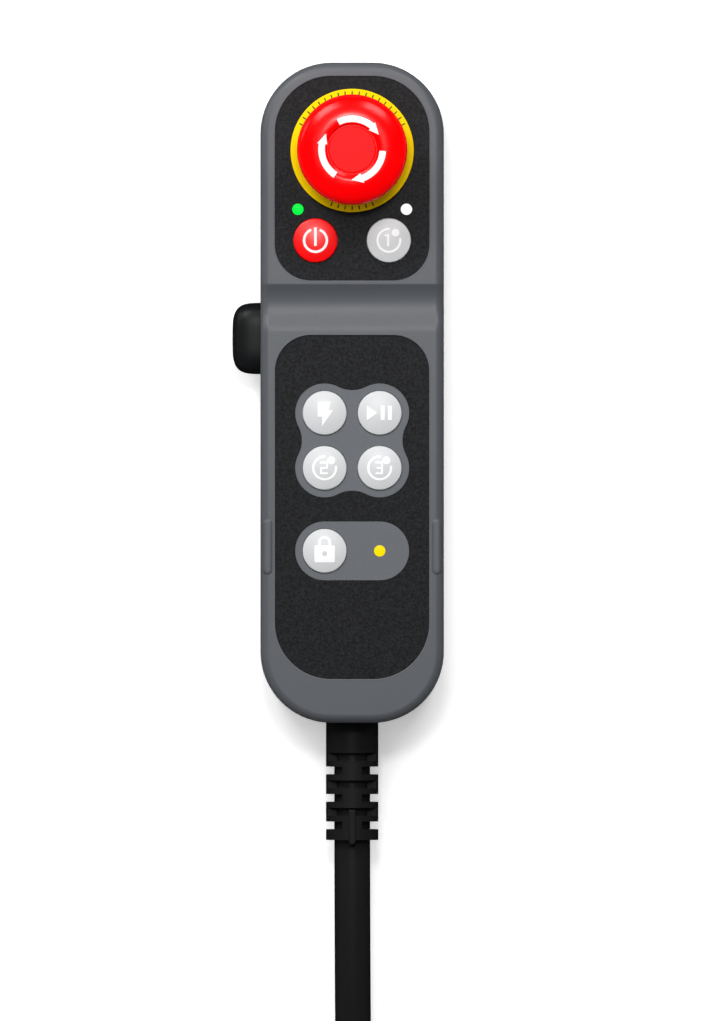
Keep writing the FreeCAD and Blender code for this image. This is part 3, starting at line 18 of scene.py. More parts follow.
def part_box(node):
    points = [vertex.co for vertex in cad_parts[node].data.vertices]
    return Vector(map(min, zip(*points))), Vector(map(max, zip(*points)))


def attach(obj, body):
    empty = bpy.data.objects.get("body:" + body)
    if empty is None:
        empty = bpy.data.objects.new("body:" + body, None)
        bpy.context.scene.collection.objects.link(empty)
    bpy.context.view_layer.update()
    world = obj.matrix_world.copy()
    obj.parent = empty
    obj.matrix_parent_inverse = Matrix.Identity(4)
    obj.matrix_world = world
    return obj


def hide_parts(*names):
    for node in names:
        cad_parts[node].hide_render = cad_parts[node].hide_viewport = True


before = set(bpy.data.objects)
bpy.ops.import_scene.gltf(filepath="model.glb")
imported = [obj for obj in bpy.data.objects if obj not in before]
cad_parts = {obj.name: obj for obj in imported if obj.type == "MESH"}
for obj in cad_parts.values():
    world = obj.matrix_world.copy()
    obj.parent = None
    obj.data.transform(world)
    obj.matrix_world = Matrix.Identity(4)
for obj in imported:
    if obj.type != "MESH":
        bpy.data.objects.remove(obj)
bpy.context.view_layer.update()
MM = 0.001


def middle(node):
    """The middle of a solid's box."""
    low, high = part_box(node)
    return (low + high) / 2


# %% [markdown]
# ## Camera, floor and light
#
# A maker's catalogue shows such a pendant straight from the front, with hardly any perspective. A very
# long lens from far away gives that look and still frames well in any other view. Two lamps beyond the
# stop give its highlights, a small one puts a glow on its crown, a broad one overhead lights without a
# highlight, and a weak one stands low on the left. A white sky fills the rest.

# %% The stage
VIEW_HEIGHT = 278.2 * MM
VIEW_CENTRE = Vector((-0.45 * MM, -32.1 * MM, 0))
LENS = 800
SENSOR = 36
RIM_TOP = 36 * MM
FLOOR_HALF = 4


def add_camera():
    data = bpy.data.cameras.new("front_camera")
    data.lens = LENS
    data.sensor_width = SENSOR
    data.clip_end = 100
    camera = bpy.data.objects.new("front_camera", data)
    camera.location = VIEW_CENTRE + Vector((0, 0, VIEW_HEIGHT * LENS / SENSOR + RIM_TOP))
    bpy.context.scene.collection.objects.link(camera)
    bpy.context.scene.camera = camera


def add_lamp(name, place, target, size, power, mirrored=True):
    """A square lamp that faces a point. One that isn't mirrored lights without a highlight."""
    data = bpy.data.lights.new(name, "AREA")
    data.size = size
    data.energy = power
    lamp = bpy.data.objects.new(name, data)
    lamp.location = place
    lamp.rotation_euler = (Vector(target) - Vector(place)).to_track_quat("-Z", "Y").to_euler()
    lamp.visible_glossy = mirrored
    bpy.context.scene.collection.objects.link(lamp)


def add_sky(overhead, around):
    """A white room, dimmer overhead than at its walls and brighter on the left than on the right."""
    world = bpy.data.worlds.new("sky")
    world.use_nodes = True
    tree = world.node_tree
    place = tree.nodes.new("ShaderNodeTexCoord")
    height = tree.nodes.new("ShaderNodeSeparateXYZ")
    tree.links.new(place.outputs["Generated"], height.inputs[0])

    def ramp(axis, start, end, low, high):
        node = tree.nodes.new("ShaderNodeMapRange")
        node.interpolation_type = "SMOOTHSTEP"
        for name, value in zip(("From Min", "From Max", "To Min", "To Max"), (start, end, low, high)):
            node.inputs[name].default_value = value
        tree.links.new(height.outputs[axis], node.inputs["Value"])
        return node.outputs["Result"]

    def product(a, b):
        node = tree.nodes.new("ShaderNodeMath")
        node.operation = "MULTIPLY"
        tree.links.new(a, node.inputs[0])
        tree.links.new(b, node.inputs[1])
        return node.outputs[0]

    walls = product(ramp("Z", 0.55, 0.97, around, overhead), ramp("X", -0.9, 0.9, 1.25, 0.45))
    light = product(walls, ramp("Z", -0.1, 0.15, 0.1, 1.0))
    tree.links.new(light, tree.nodes["Background"].inputs["Strength"])
    bpy.context.scene.world = world


def add_floor():
    bm = bmesh.new()
    bmesh.ops.create_grid(bm, x_segments=1, y_segments=1, size=FLOOR_HALF)
    mesh = bpy.data.meshes.new("floor")
    bm.to_mesh(mesh)
    bm.free()
    floor = bpy.data.objects.new("floor", mesh)
    bpy.context.scene.collection.objects.link(floor)
    material = bpy.data.materials.new("pale_floor")
    material.use_nodes = True
    shader = material.node_tree.nodes["Principled BSDF"]
    shader.inputs["Base Color"].default_value = (0.93, 0.93, 0.93, 1)
    shader.inputs["Roughness"].default_value = 0.9
    shader.inputs["Specular IOR Level"].default_value = 0
    shader.inputs["Emission Color"].default_value = (1, 1, 1, 1)
    shader.inputs["Emission Strength"].default_value = 0.40
    mesh.materials.append(material)
    floor.visible_glossy = False


bpy.context.scene.view_settings.view_transform = "Standard"
add_camera()
add_sky(0.28, 0.80)
add_lamp("left_key_lamp", (-0.48, 0.78, 0.92), (0, 0.02, 0.03), 0.36, 6.0)
add_lamp("right_key_lamp", (0.40, 0.78, 0.92), (0, 0.02, 0.03), 0.36, 4.5)
add_lamp("glow_lamp", (-0.02, 0.26, 1.2), (0, 0.04, 0.03), 0.12, 3.0)
add_lamp("fill_lamp", (-0.10, 0.30, 1.6), (0, -0.05, 0.03), 0.9, 13, mirrored=False)
add_lamp("side_lamp", (-0.85, 0.45, 0.35), (0, 0.03, 0.03), 0.30, 1.4)
add_floor()

# %% [markdown]
# ## A small paint kit
#
# A finish is one material with one Principled shader. What is the same all over is set on the shader's
# own sockets. What changes over the surface is worked out by nodes, and a class that overloads Python's
# operators lets that be written as ordinary sums.


# %% The paint kit
class Field:
    """A value that changes over a surface."""

    def __init__(self, finish, socket):
        self.finish = finish
        self.socket = socket

    def _sum(self, operation, *values):
        return self.finish.node("Math", {"operation": operation}, dict(enumerate(values)))

    def __add__(self, other):
        return self._sum("ADD", self, other)

    __radd__ = __add__

    def __mul__(self, other):
        return self._sum("MULTIPLY", self, other)

    __rmul__ = __mul__

    def __lt__(self, other):
        return self._sum("LESS_THAN", self, other)


class Finish:
    """A finish for one material of the object."""

    def __init__(self, name, colour, roughness, **even):
        self.material = bpy.data.materials.new(name)
        self.material.use_nodes = True
        self.tree = self.material.node_tree
        self.shader = self.tree.nodes["Principled BSDF"]
        even = {"Base_Color": (*colour, 1), "Roughness": roughness} | even
        for socket, value in even.items():
            self.shader.inputs[socket.replace("_", " ")].default_value = value

    def node(self, kind, settings=(), sockets=(), output=0):
        """Adds a node, gives it its settings and then the values or links of its sockets."""
        made = self.tree.nodes.new(f"ShaderNode{kind}")
        for name, value in dict(settings).items():
            if name == "stops":
                ramp = made.color_ramp
                for stop, (position, colour) in zip(ramp.elements, value):
                    stop.position, stop.color = position, (*colour, 1)
            else:
                setattr(made, name, value)
        for name, value in dict(sockets).items():
            if isinstance(value, Field):
                self.tree.links.new(value.socket, made.inputs[name])
            else:
                made.inputs[name].default_value = value
        return Field(self, made.outputs[output])

    def feed(self, socket, field):
        self.tree.links.new(field.socket, self.shader.inputs[socket])

    def place(self):
        """Where a point is on the object, in metres."""
        return self.node("TexCoord", output="Object")

    def noise(self, per_mm, detail=2.0, roughness=0.5, place=None):
        """Soft random spots, so many to the millimetre, from about 0 to 1."""
        sockets = {"Vector": place or self.place(), "Scale": per_mm * 1000}
        sockets |= {"Detail": detail, "Roughness": roughness}
        return self.node("TexNoise", sockets=sockets)

    def mix(self, factor, first, second):
        """A colour between two colours."""
        colours = [c if isinstance(c, Field) else (*c, 1) for c in (first, second)]
        sockets = {0: factor, 6: colours[0], 7: colours[1]}
        return self.node("Mix", {"data_type": "RGBA"}, sockets, output=2)

    def bump(self, height, depth, strength=1.0):
        """Raises the surface by height times depth, in metres."""
        sockets = {"Height": height, "Distance": depth, "Strength": strength}
        self.feed("Normal", self.node("Bump", sockets=sockets))


def scaled(colour, factor):
    return tuple(min(c * factor, 1) for c in colour)


def moulded(name, colour, roughness, grain=3.0, contrast=0.12, depth=0.02 * MM, **even):
    """Moulded plastic: a fine even grain, a little cloudiness and a slight change of gloss."""
    finish = Finish(name, colour, roughness, **even)
    fine = finish.noise(grain, detail=3, roughness=0.6)
    cloud = finish.noise(0.05, detail=2)
    shade = fine * 0.8 + cloud * 0.2
    tint = finish.mix(shade, scaled(colour, 1 - 2 * contrast), scaled(colour, 1 + 2 * contrast))
    finish.feed("Base Color", tint)
    finish.feed("Roughness", cloud * 0.10 + (roughness - 0.05))
    finish.bump(fine, depth)
    return finish


# %% [markdown]
# ## Modelling helpers
#
# Most of the finer pieces are turned on a lathe: a profile is drawn from one vertex and spun round an
# axis. Every new piece goes through one function that closes its seams, turns its faces outwards,
# shades it smooth up to a crease angle and lets it ride on a body of the frame.

# %% Modelling helpers
CREASE = math.radians(28)


def finish_mesh(bm, crease=CREASE):
    """Closes seams, turns faces outwards and marks the creases."""
    bmesh.ops.remove_doubles(bm, verts=bm.verts, dist=1e-6)
    bmesh.ops.recalc_face_normals(bm, faces=bm.faces)
    for face in bm.faces:
        face.smooth = True
    for edge in bm.edges:
        edge.smooth = len(edge.link_faces) == 2 and edge.calc_face_angle(0) < crease


def add_piece(name, bm, body, finish, replaces=(), crease=CREASE, tidy=True):
    """Makes an object of a bmesh and lets it ride on a body."""
    if tidy:
        finish_mesh(bm, crease)
    mesh = bpy.data.meshes.new(name)
    bm.to_mesh(mesh)
    bm.free()
    piece = bpy.data.objects.new(name, mesh)
    bpy.context.scene.collection.objects.link(piece)
    mesh.materials.append(finish.material)
    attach(piece, body)
    if replaces:
        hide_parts(*replaces)
    return piece


def profile(moves, steps_per_turn=96):
    """A line in the XZ plane: (x, z) goes straight there, (x, z, degrees) turns about that centre."""
    bm = bmesh.new()
    last = bm.verts.new((moves[0][0], 0, moves[0][1]))
    for move in moves[1:]:
        if len(move) == 2:
            made = bmesh.ops.extrude_vert_indiv(bm, verts=[last])
            last = made["verts"][0]
            last.co = (move[0], 0, move[1])
        else:
            steps = max(2, round(abs(move[2]) / 360 * steps_per_turn))
            made = bmesh.ops.spin(
                bm, geom=[last], cent=(move[0], 0, move[1]), axis=(0, -1, 0),
                angle=math.radians(move[2]), steps=steps, use_merge=False,
            )
            last = next(g for g in made["geom_last"] if isinstance(g, bmesh.types.BMVert))
    return bm


def turned(moves, steps=96, arc_steps=96):
    """A profile spun round the Z axis."""
    bm = profile(moves, arc_steps)
    bmesh.ops.spin(
        bm, geom=bm.verts[:] + bm.edges[:], cent=(0, 0, 0), axis=(0, 0, 1),
        angle=2 * math.pi, steps=steps, use_merge=True,
    )
    bmesh.ops.remove_doubles(bm, verts=bm.verts, dist=1e-6)
    return bm


def moved(bm, place, turn=None):
    """Turns a bmesh and then moves it to its place."""
    if turn:
        bmesh.ops.rotate(bm, verts=bm.verts, cent=(0, 0, 0), matrix=turn)
    bmesh.ops.translate(bm, verts=bm.verts, vec=place)
    return bm


def add_mesh_to(whole, part):
    """Adds one bmesh to another and frees it."""
    mesh = bpy.data.meshes.new("part")
    part.to_mesh(mesh)
    part.free()
    whole.from_mesh(mesh)
    bpy.data.meshes.remove(mesh)


def smoothed_copy(node, name, body, finish, crease=CREASE):
    """A copy of a solid with its triangles joined, so that curved faces shade smoothly."""
    bm = bmesh.new()
    bm.from_mesh(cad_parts[node].data)
    bmesh.ops.remove_doubles(bm, verts=bm.verts, dist=2e-6)
    for face in bm.faces:
        face.smooth = True
    for edge in bm.edges:
        edge.smooth = len(edge.link_faces) == 2 and edge.calc_face_angle(0) < crease
    piece = add_piece(name, bm, body, finish, replaces=(node,), tidy=False)
    even = piece.modifiers.new("even_shading", "WEIGHTED_NORMAL")
    even.keep_sharp = True
    return piece


def paint_node(node, finish):
    """Gives a solid of the frame its finish."""
    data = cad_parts[node].data
    data.materials.clear()
    data.materials.append(finish.material)


# %% [markdown]
# ## Finishes
#
# The grip is moulded in a slate-grey plastic with a fine spark-eroded grain. The panels are a textured
# black film, the keys are silver pearl, and the stop has a smooth red cap. Each finish is made once.

# %% Finishes of the housing and its panels
housing_grey = moulded(
    "housing_grey", (0.080, 0.086, 0.096), 0.42, grain=3.2, contrast=0.09, depth=0.012 * MM,
    Specular_IOR_Level=0.5,
)
# The key surrounds' own grey. The panel lips use it too, as a painted highlight.
surround_grey = moulded(
    "surround_grey", (0.116, 0.123, 0.135), 0.5, grain=3.2, contrast=0.12, Specular_IOR_Level=0.3
)
black_satin = moulded(
    "black_satin", (0.007, 0.0075, 0.008), 0.38, grain=1.6, contrast=0.1, depth=0.008 * MM,
    Specular_IOR_Level=0.2,
)
jacket = moulded(
    "cable_jacket", (0.011, 0.011, 0.0115), 0.34, grain=2.2, contrast=0.1, Specular_IOR_Level=0.25
)
relief_rubber = moulded(
    "relief_rubber", (0.009, 0.009, 0.0095), 0.5, grain=2.6, contrast=0.1, Specular_IOR_Level=0.15
)
soft_rubber = moulded("soft_rubber", (0.05, 0.05, 0.055), 0.7, grain=2)


def textured_film(name):
    """Black polyester film with a sandy texture: dark and light grains of two sizes."""
    finish = Finish(name, (0.009, 0.0095, 0.0105), 0.5, Specular_IOR_Level=0.2)
    sand = finish.noise(3.4, detail=3, roughness=0.7)
    coarse = finish.noise(1.3, detail=2)
    grain = sand * 0.7 + coarse * 0.3
    stops = [(0.42, (0.0005, 0.0005, 0.001)), (0.58, (0.017, 0.018, 0.020))]
    finish.feed("Base Color", finish.node("ValToRGB", {"stops": stops}, {0: grain}))
    finish.feed("Roughness", sand * 0.2 + 0.42)
    finish.bump(grain, 0.05 * MM)
    return finish


panel_film = textured_film("panel_film")

# %% Finishes of the keys, the stop and the lamps
pearl = moulded(
    "key_pearl", (0.60, 0.607, 0.616), 0.38, grain=4, contrast=0.06, depth=0.006 * MM,
    Specular_IOR_Level=0.6,
)
key_red = moulded(
    "key_red", (0.93, 0.001, 0.002), 0.32, grain=4, contrast=0.03, depth=0.006 * MM,
    Specular_IOR_Level=0.6,
)
white_ink = Finish("white_ink", (0.93, 0.93, 0.93), 0.5, Specular_IOR_Level=0.2)
black_ink = Finish("black_ink", (0.01, 0.01, 0.01), 0.6, Specular_IOR_Level=0.2)
stop_yellow = moulded(
    "stop_yellow", (0.98, 0.68, 0.0), 0.5, grain=1.5, contrast=0.015, depth=0.004 * MM,
    Specular_IOR_Level=0.06,
)


def lit_lens(name, colour):
    """A clear lens with its lamp on."""
    finish = Finish(name, scaled(colour, 0.1), 0.3, Specular_IOR_Level=0.08)
    finish.shader.inputs["Emission Color"].default_value = (*colour, 1)
    finish.shader.inputs["Emission Strength"].default_value = 0.95
    return finish


LAMPS = {
    "green_lamp_lens": lit_lens("lens_green", (0.0, 1.0, 0.065)),
    "white_lamp_lens": lit_lens("lens_white", (1.0, 1.0, 1.0)),
    "yellow_lamp_lens": lit_lens("lens_yellow", (1.0, 0.76, 0.0)),
}

# %% Finishes of the metal and hidden parts
steel = moulded("zinc_steel", (0.55, 0.56, 0.58), 0.32, grain=1.2, contrast=0.06, Metallic=1.0)
brass = moulded("turned_brass", (0.72, 0.50, 0.20), 0.3, grain=1.2, contrast=0.05, Metallic=1.0)
nickel = moulded("satin_nickel", (0.50, 0.50, 0.49), 0.3, grain=1.5, contrast=0.04, Metallic=1.0)
board = moulded("board_green", (0.015, 0.13, 0.045), 0.3, grain=1.0, contrast=0.08)
core_red = moulded("core_jackets", (0.28, 0.04, 0.03), 0.45, grain=1.0)

HIDDEN = {
    "shell_gasket": soft_rubber, "upper_key_mat": soft_rubber, "lower_key_mat": soft_rubber,
    "estop_seal": soft_rubber, "upper_circuit_board": board, "lower_circuit_board": board,
    "board_link_ribbon": core_red, "cable_cores": core_red, "lamp_chips": pearl,
    "board_screws": steel, "wire_header": black_satin, "estop_nut": steel, "estop_stem": steel,
    "estop_spring": steel, "estop_contact_block": black_satin, "enable_frame": black_satin,
    "enable_plunger": black_satin, "enable_spring": steel, "enable_switch_body": black_satin,
    "cable_clamp": steel, "clamp_screws": steel, "threaded_inserts": brass,
    "cable_inner_end": jacket, "plug_insert": black_satin, "plug_pins": brass,
    "upper_panel": panel_film, "lower_panel": panel_film,
    "four_key_surround": surround_grey, "lock_key_surround": surround_grey,
    "estop_barrel": black_satin,
}
for node, finish in HIDDEN.items():
    paint_node(node, finish)

# %% [markdown]
# ## The housing
#
# The two shells keep the solids' exact shape. A copy of each with its triangles joined shades their
# long fillets and the saddle smoothly, which loose triangles can't.

# %% The shells and the strain relief
for node, finish, slot in (
    ("front_shell", housing_grey, "housing_plastic"),
    ("rear_shell", housing_grey, "housing_plastic"),
    ("strain_relief", relief_rubber, "cable_jacket"),
):
    smoothed_copy(node, f"{node}_smooth", "housing", finish)


# %% Lips round the panels, in a lighter grey as a painted highlight
def panel_loop(bm, node, corners):
    """The outline of a panel as a loop of edges, with a corner radius for each end."""
    low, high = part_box(node)
    made = bmesh.ops.create_grid(bm, x_segments=1, y_segments=1, size=0.5)
    bmesh.ops.scale(bm, verts=made["verts"], vec=(high.x - low.x, high.y - low.y, 1))
    spot = ((low.x + high.x) / 2, (low.y + high.y) / 2, high.z)
    bmesh.ops.translate(bm, verts=made["verts"], vec=spot)
    for radius, side in zip(corners, (1, -1)):
        ends = [v for v in bm.verts if side * (v.co.y - spot[1]) > 0.49 * (high.y - low.y)]
        bmesh.ops.bevel(
            bm, geom=ends, offset=radius, segments=20, profile=0.5, affect="VERTICES", material=-1
        )
    bmesh.ops.delete(bm, geom=bm.faces[:], context="FACES_ONLY")


def add_highlight_lip(node, corners):
    """A fine bead that rounds off the step between the rim and a panel. Its lighter grey is a painted
    highlight along the panel's edge.
    """
    bm = bmesh.new()
    panel_loop(bm, node, corners)
    bmesh.ops.translate(bm, verts=bm.verts, vec=(0, 0, RIM_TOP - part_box(node)[1].z - LIP * 0.75))
    centre = middle(node)
    for vert in bm.verts:
        vert.co += (vert.co - centre).to_2d().normalized().to_3d() * 0.12 * MM
    loop = bpy.data.meshes.new("lip_line")
    bm.to_mesh(loop)
    bm.free()
    line = bpy.data.objects.new("lip_line", loop)
    bpy.context.scene.collection.objects.link(line)
    with bpy.context.temp_override(
        object=line, active_object=line, selected_objects=[line], selected_editable_objects=[line]
    ):
        bpy.ops.object.convert(target="CURVE")
    line.data.bevel_depth = LIP
    line.data.bevel_resolution = 3
    bead = bpy.data.meshes.new_from_object(line.evaluated_get(bpy.context.evaluated_depsgraph_get()))
    bm = bmesh.new()
    bm.from_mesh(bead)
    bpy.data.objects.remove(line)
    # The bead takes the surround's lighter grey, not the rim's own grey: a painted highlight along the
    # panel's edge.
    add_piece(f"{node}_lip", bm, "housing", surround_grey)


LIP = 0.28 * MM
add_highlight_lip("upper_panel", (15.5 * MM, 10 * MM))
add_highlight_lip("lower_panel", (10 * MM, 15.5 * MM))


# %% The enabling button
def superellipse(angle, across, up, power=4):
    """A point on a rounded oblong outline."""
    c, s = math.cos(angle), math.sin(angle)
    size = (abs(c) ** power + abs(s) ** power) ** (-1 / power)
    return across * size * c, up * size * s


def outward(place, distance):
    """A distance away from the middle, on the same side of it as the place."""
    return math.copysign(distance, place) if place else 0


def pillow_button(arc_steps=32, steps=96):
    """A cushion-shaped button that stands out to the left, with its flange behind the wall."""
    low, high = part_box("enable_button")
    along, up = 9.75 * MM, 6.95 * MM
    swell = 8.7 * MM
    flange, grow_out = high.x - 1.4 * MM, 1.1 * MM
    rings = []
    for k in range(arc_steps + 1):
        turn = math.pi / 2 * k / arc_steps
        tip = low.x + swell * (1 - math.sqrt(max(0, math.cos(turn))))
        rings.append((tip, math.sqrt(math.sin(turn)), 0))
    rings += [(flange, 1, 0), (flange, 1, grow_out), (high.x, 1, grow_out), (high.x, 0, 0)]
    bm = bmesh.new()
    last = None
    for x, size, grow in rings:
        points = [superellipse(2 * math.pi * k / steps, along, up) for k in range(steps)]
        ring = [
            bm.verts.new((x, y * size + outward(y, grow), z * size + outward(z, grow)))
            for y, z in points
        ]
        if last:
            for k in range(steps):
                bm.faces.new((last[k - 1], last[k], ring[k], ring[k - 1]))
        last = ring
    bmesh.ops.remove_doubles(bm, verts=bm.verts, dist=1e-6)
    bmesh.ops.recalc_face_normals(bm, faces=bm.faces)
    return moved(bm, Vector((0, middle("enable_button").y, middle("enable_button").z)))


add_piece("enable_button_cushion", pillow_button(), "enabling_button", black_satin,
          replaces=("enable_button",))

# %% [markdown]
# ## The keys
#
# Each key is a turned cap: a flange that the front wall holds back, a straight side and a shallow dome
# with a small rounding between them. Its printed sign is a thin layer of ink that follows the dome, cut
# from bars, arcs and outlines.

# %% Key caps
KEY_ROUND = 0.35 * MM
INK = 0.04 * MM
KEY_BODIES = {
    "power_key": "power_button",
    "preset_one_key": "preset_one_button",
    "charge_key": "charge_button",
    "play_pause_key": "play_pause_button",
    "preset_two_key": "preset_two_button",
    "preset_three_key": "preset_three_button",
    "lock_key": "lock_button",
}
KEY_FLANGE = 1 * MM
KEY_RADIUS = 6 * MM
KEY_DOME = 0.8 * MM
DOME_RADIUS = (KEY_RADIUS**2 + KEY_DOME**2) / (2 * KEY_DOME)


def key_cap():
    """One cap, standing on the origin."""
    low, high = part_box("power_key")
    top = high.z - low.z
    flange = (high.x - low.x) / 2
    sphere_z = top - DOME_RADIUS
    centre = KEY_RADIUS - KEY_ROUND
    centre_z = sphere_z + math.sqrt((DOME_RADIUS - KEY_ROUND) ** 2 - centre**2)
    turn = math.degrees(math.atan2(centre_z - sphere_z, centre))
    return turned([
        (0, 0), (flange, 0), (flange, KEY_FLANGE), (KEY_RADIUS, KEY_FLANGE), (KEY_RADIUS, centre_z),
        (centre, centre_z, turn), (0, sphere_z, 90 - turn),
    ])


for node, body in KEY_BODIES.items():
    low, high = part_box(node)
    place = Vector(((low.x + high.x) / 2, (low.y + high.y) / 2, low.z))
    red = node == "power_key"
    add_piece(
        f"{node}_cap", moved(key_cap(), place), body, key_red if red else pearl,
        replaces=(node,),
    )


# %% Ink signs
def bar(bm, left, right, low, high):
    """A flat bar, sizes in millimetres."""
    made = bmesh.ops.create_grid(bm, x_segments=1, y_segments=1, size=0.5)
    size = Vector((right - left, high - low, 1)) * MM
    bmesh.ops.scale(bm, verts=made["verts"], vec=size)
    spot = Vector(((left + right) / 2, (low + high) / 2, 0)) * MM
    bmesh.ops.translate(bm, verts=made["verts"], vec=spot)


def dot(bm, x, y, radius):
    made = bmesh.ops.create_circle(bm, cap_ends=True, cap_tris=True, segments=32, radius=radius * MM)
    bmesh.ops.translate(bm, verts=made["verts"], vec=Vector((x, y, 0)) * MM)


def band(bm, inner, outer, start, end, x=0, y=0):
    """Part of a flat ring, from one angle to another in degrees."""
    verts = [bm.verts.new((r * MM, 0, 0)) for r in (inner, outer)]
    edge = bm.edges.new(verts)
    bmesh.ops.rotate(bm, verts=verts, matrix=Matrix.Rotation(math.radians(start), 3, "Z"))
    move = Vector((x, y, 0)) * MM
    bmesh.ops.translate(bm, verts=verts, vec=move)
    steps = max(4, round((end - start) / 5))
    bmesh.ops.spin(
        bm, geom=verts + [edge], cent=move, axis=(0, 0, 1), angle=math.radians(end - start),
        steps=steps, use_merge=False,
    )


def shape(bm, corners):
    """A flat shape with straight sides."""
    face = bm.faces.new([bm.verts.new((x * MM, y * MM, 0)) for x, y in corners])
    bmesh.ops.triangulate(bm, faces=[face])


def preset_ring(bm):
    """The open ring with a dot that the three numbered keys share."""
    band(bm, 2.80, 3.40, 86, 370)
    dot(bm, 1.82, 2.08, 1.06)


def power_sign(bm):
    band(bm, 2.76, 3.44, 112, 428)
    bar(bm, -0.36, 0.36, -1.5, 3.5)


def one_sign(bm):
    preset_ring(bm)
    bar(bm, -0.50, 0.10, -1.65, 1.65)
    bar(bm, -1.15, -0.50, 1.10, 1.65)


def two_sign(bm):
    preset_ring(bm)
    bar(bm, -1.25, 0.90, 1.20, 1.70)
    bar(bm, 0.38, 0.90, 0.22, 1.20)
    bar(bm, -1.25, 0.90, -0.28, 0.22)
    bar(bm, -1.25, -0.73, -1.22, -0.28)
    bar(bm, -1.25, 0.90, -1.72, -1.22)


def three_sign(bm):
    preset_ring(bm)
    bar(bm, -1.15, 0.90, 1.20, 1.70)
    bar(bm, 0.38, 0.90, 0.22, 1.20)
    bar(bm, -0.85, 0.90, -0.28, 0.22)
    bar(bm, 0.38, 0.90, -1.22, -0.28)
    bar(bm, -1.15, 0.90, -1.72, -1.22)


def bolt_sign(bm):
    shape(bm, [(-1.85, 3.0), (1.60, 3.0), (1.08, 0.65), (2.25, 0.65), (-0.75, -3.65),
               (-0.62, -1.0), (-1.85, -1.0)])


def play_pause_sign(bm):
    shape(bm, [(-3.50, 2.0), (-0.70, 0), (-3.50, -2.0)])
    bar(bm, 0.30, 1.35, -1.95, 1.95)
    bar(bm, 2.25, 3.30, -1.95, 1.95)


def lock_sign(bm):
    band(bm, 1.08, 1.76, 0, 180, y=2.25)
    bar(bm, -1.76, -1.08, 1.5, 2.25)
    bar(bm, 1.08, 1.76, 1.5, 2.25)
    made = bmesh.ops.create_grid(bm, x_segments=1, y_segments=1, size=0.5)
    bmesh.ops.scale(bm, verts=made["verts"], vec=Vector((5.55, 4.65, 1)) * MM)
    bmesh.ops.translate(bm, verts=made["verts"], vec=Vector((0, -0.82, 0)) * MM)
    bmesh.ops.bevel(
        bm, geom=made["verts"], offset=0.4 * MM, segments=4, profile=0.5, affect="VERTICES", material=-1
    )


SIGNS = {
    "power_key": power_sign,
    "preset_one_key": one_sign,
    "charge_key": bolt_sign,
    "play_pause_key": play_pause_sign,
    "preset_two_key": two_sign,
    "preset_three_key": three_sign,
    "lock_key": lock_sign,
}
FINE = 0.45 * MM  # longest edge that follows a dome well


def refine(bm, longest):
    """Halves long edges until the flat shape is fine enough to be bent."""
    for _ in range(6):
        long_edges = [e for e in bm.edges if e.calc_length() > longest]
        if not long_edges:
            break
        bmesh.ops.subdivide_edges(bm, edges=long_edges, cuts=1, use_grid_fill=False)
        bmesh.ops.triangulate(bm, faces=[f for f in bm.faces if len(f.verts) > 4])


def ink_layer(bm, height, thickness=INK):
    """Gives a flat sign its thickness and lays it on a surface of the given height at (x, y)."""
    bmesh.ops.remove_doubles(bm, verts=bm.verts, dist=1e-6)
    bmesh.ops.triangulate(bm, faces=[f for f in bm.faces if len(f.verts) > 4])
    refine(bm, FINE)
    top = bmesh.ops.extrude_face_region(bm, geom=bm.faces[:])["geom"]
    raised = {v for v in top if isinstance(v, bmesh.types.BMVert)}
    for vert in bm.verts:
        layer = thickness if vert in raised else -thickness
        vert.co.z = height(vert.co.x, vert.co.y) + layer
    return bm


def dome_height(x, y):
    return math.sqrt(DOME_RADIUS**2 - x * x - y * y) - DOME_RADIUS


for node, draw in SIGNS.items():
    low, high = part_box(node)
    bm = bmesh.new()
    draw(bm)
    ink_layer(bm, dome_height)
    moved(bm, Vector(((low.x + high.x) / 2, (low.y + high.y) / 2, high.z)))
    add_piece(f"{node}_sign", bm, KEY_BODIES[node], white_ink)

lock_low, lock_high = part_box("lock_key")
bm = bmesh.new()
dot(bm, 0, -0.75, 0.68)
ink_layer(bm, dome_height, thickness=1.5 * INK)
moved(bm, Vector(((lock_low.x + lock_high.x) / 2, (lock_low.y + lock_high.y) / 2, lock_high.z)))
add_piece("lock_keyhole", bm, "lock_button", pearl)
print("made", len(SIGNS), "key signs")

# %% [markdown]
# ## The lamps
#
# A lamp is a clear rod that ends flush with its panel, with the light of a chip behind it. The rod is
# turned, with a slight crown and a softened edge.

# %% Lamp lenses
LENS_RADIUS = 1.5 * MM
LENS_SOFT = 0.12 * MM
LENS_FLANGE = 31.2 * MM
for node, finish in LAMPS.items():
    low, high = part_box(node)
    length = high.z - low.z
    flange = (high.x - low.x) / 2
    flange_low = LENS_FLANGE - low.z
    lens = turned([
        (0, 0), (LENS_RADIUS, 0), (LENS_RADIUS, flange_low), (flange, flange_low),
        (flange, flange_low + KEY_FLANGE), (LENS_RADIUS, flange_low + KEY_FLANGE),
        (LENS_RADIUS, length - 2 * LENS_SOFT), (LENS_RADIUS - LENS_SOFT, length - LENS_SOFT),
        (0.6 * LENS_RADIUS, length - 0.3 * LENS_SOFT), (0, length),
    ], steps=48)
    place = Vector(((low.x + high.x) / 2, (low.y + high.y) / 2, low.z))
    slot = "lens_" + node.split("_")[0]
    add_piece(f"{node}_rod", moved(lens, place), "housing", finish, replaces=(node,))

# %% [markdown]
# ## The emergency stop
#
# The mushroom head is a turned cap: a steep skirt, a wide crown, a ridge, a narrow groove and a flat
# middle disc. It is pushed to stop and turned clockwise to release, so three arrows are printed on the
# ridge. The yellow plate under it carries plain marks in place of words.

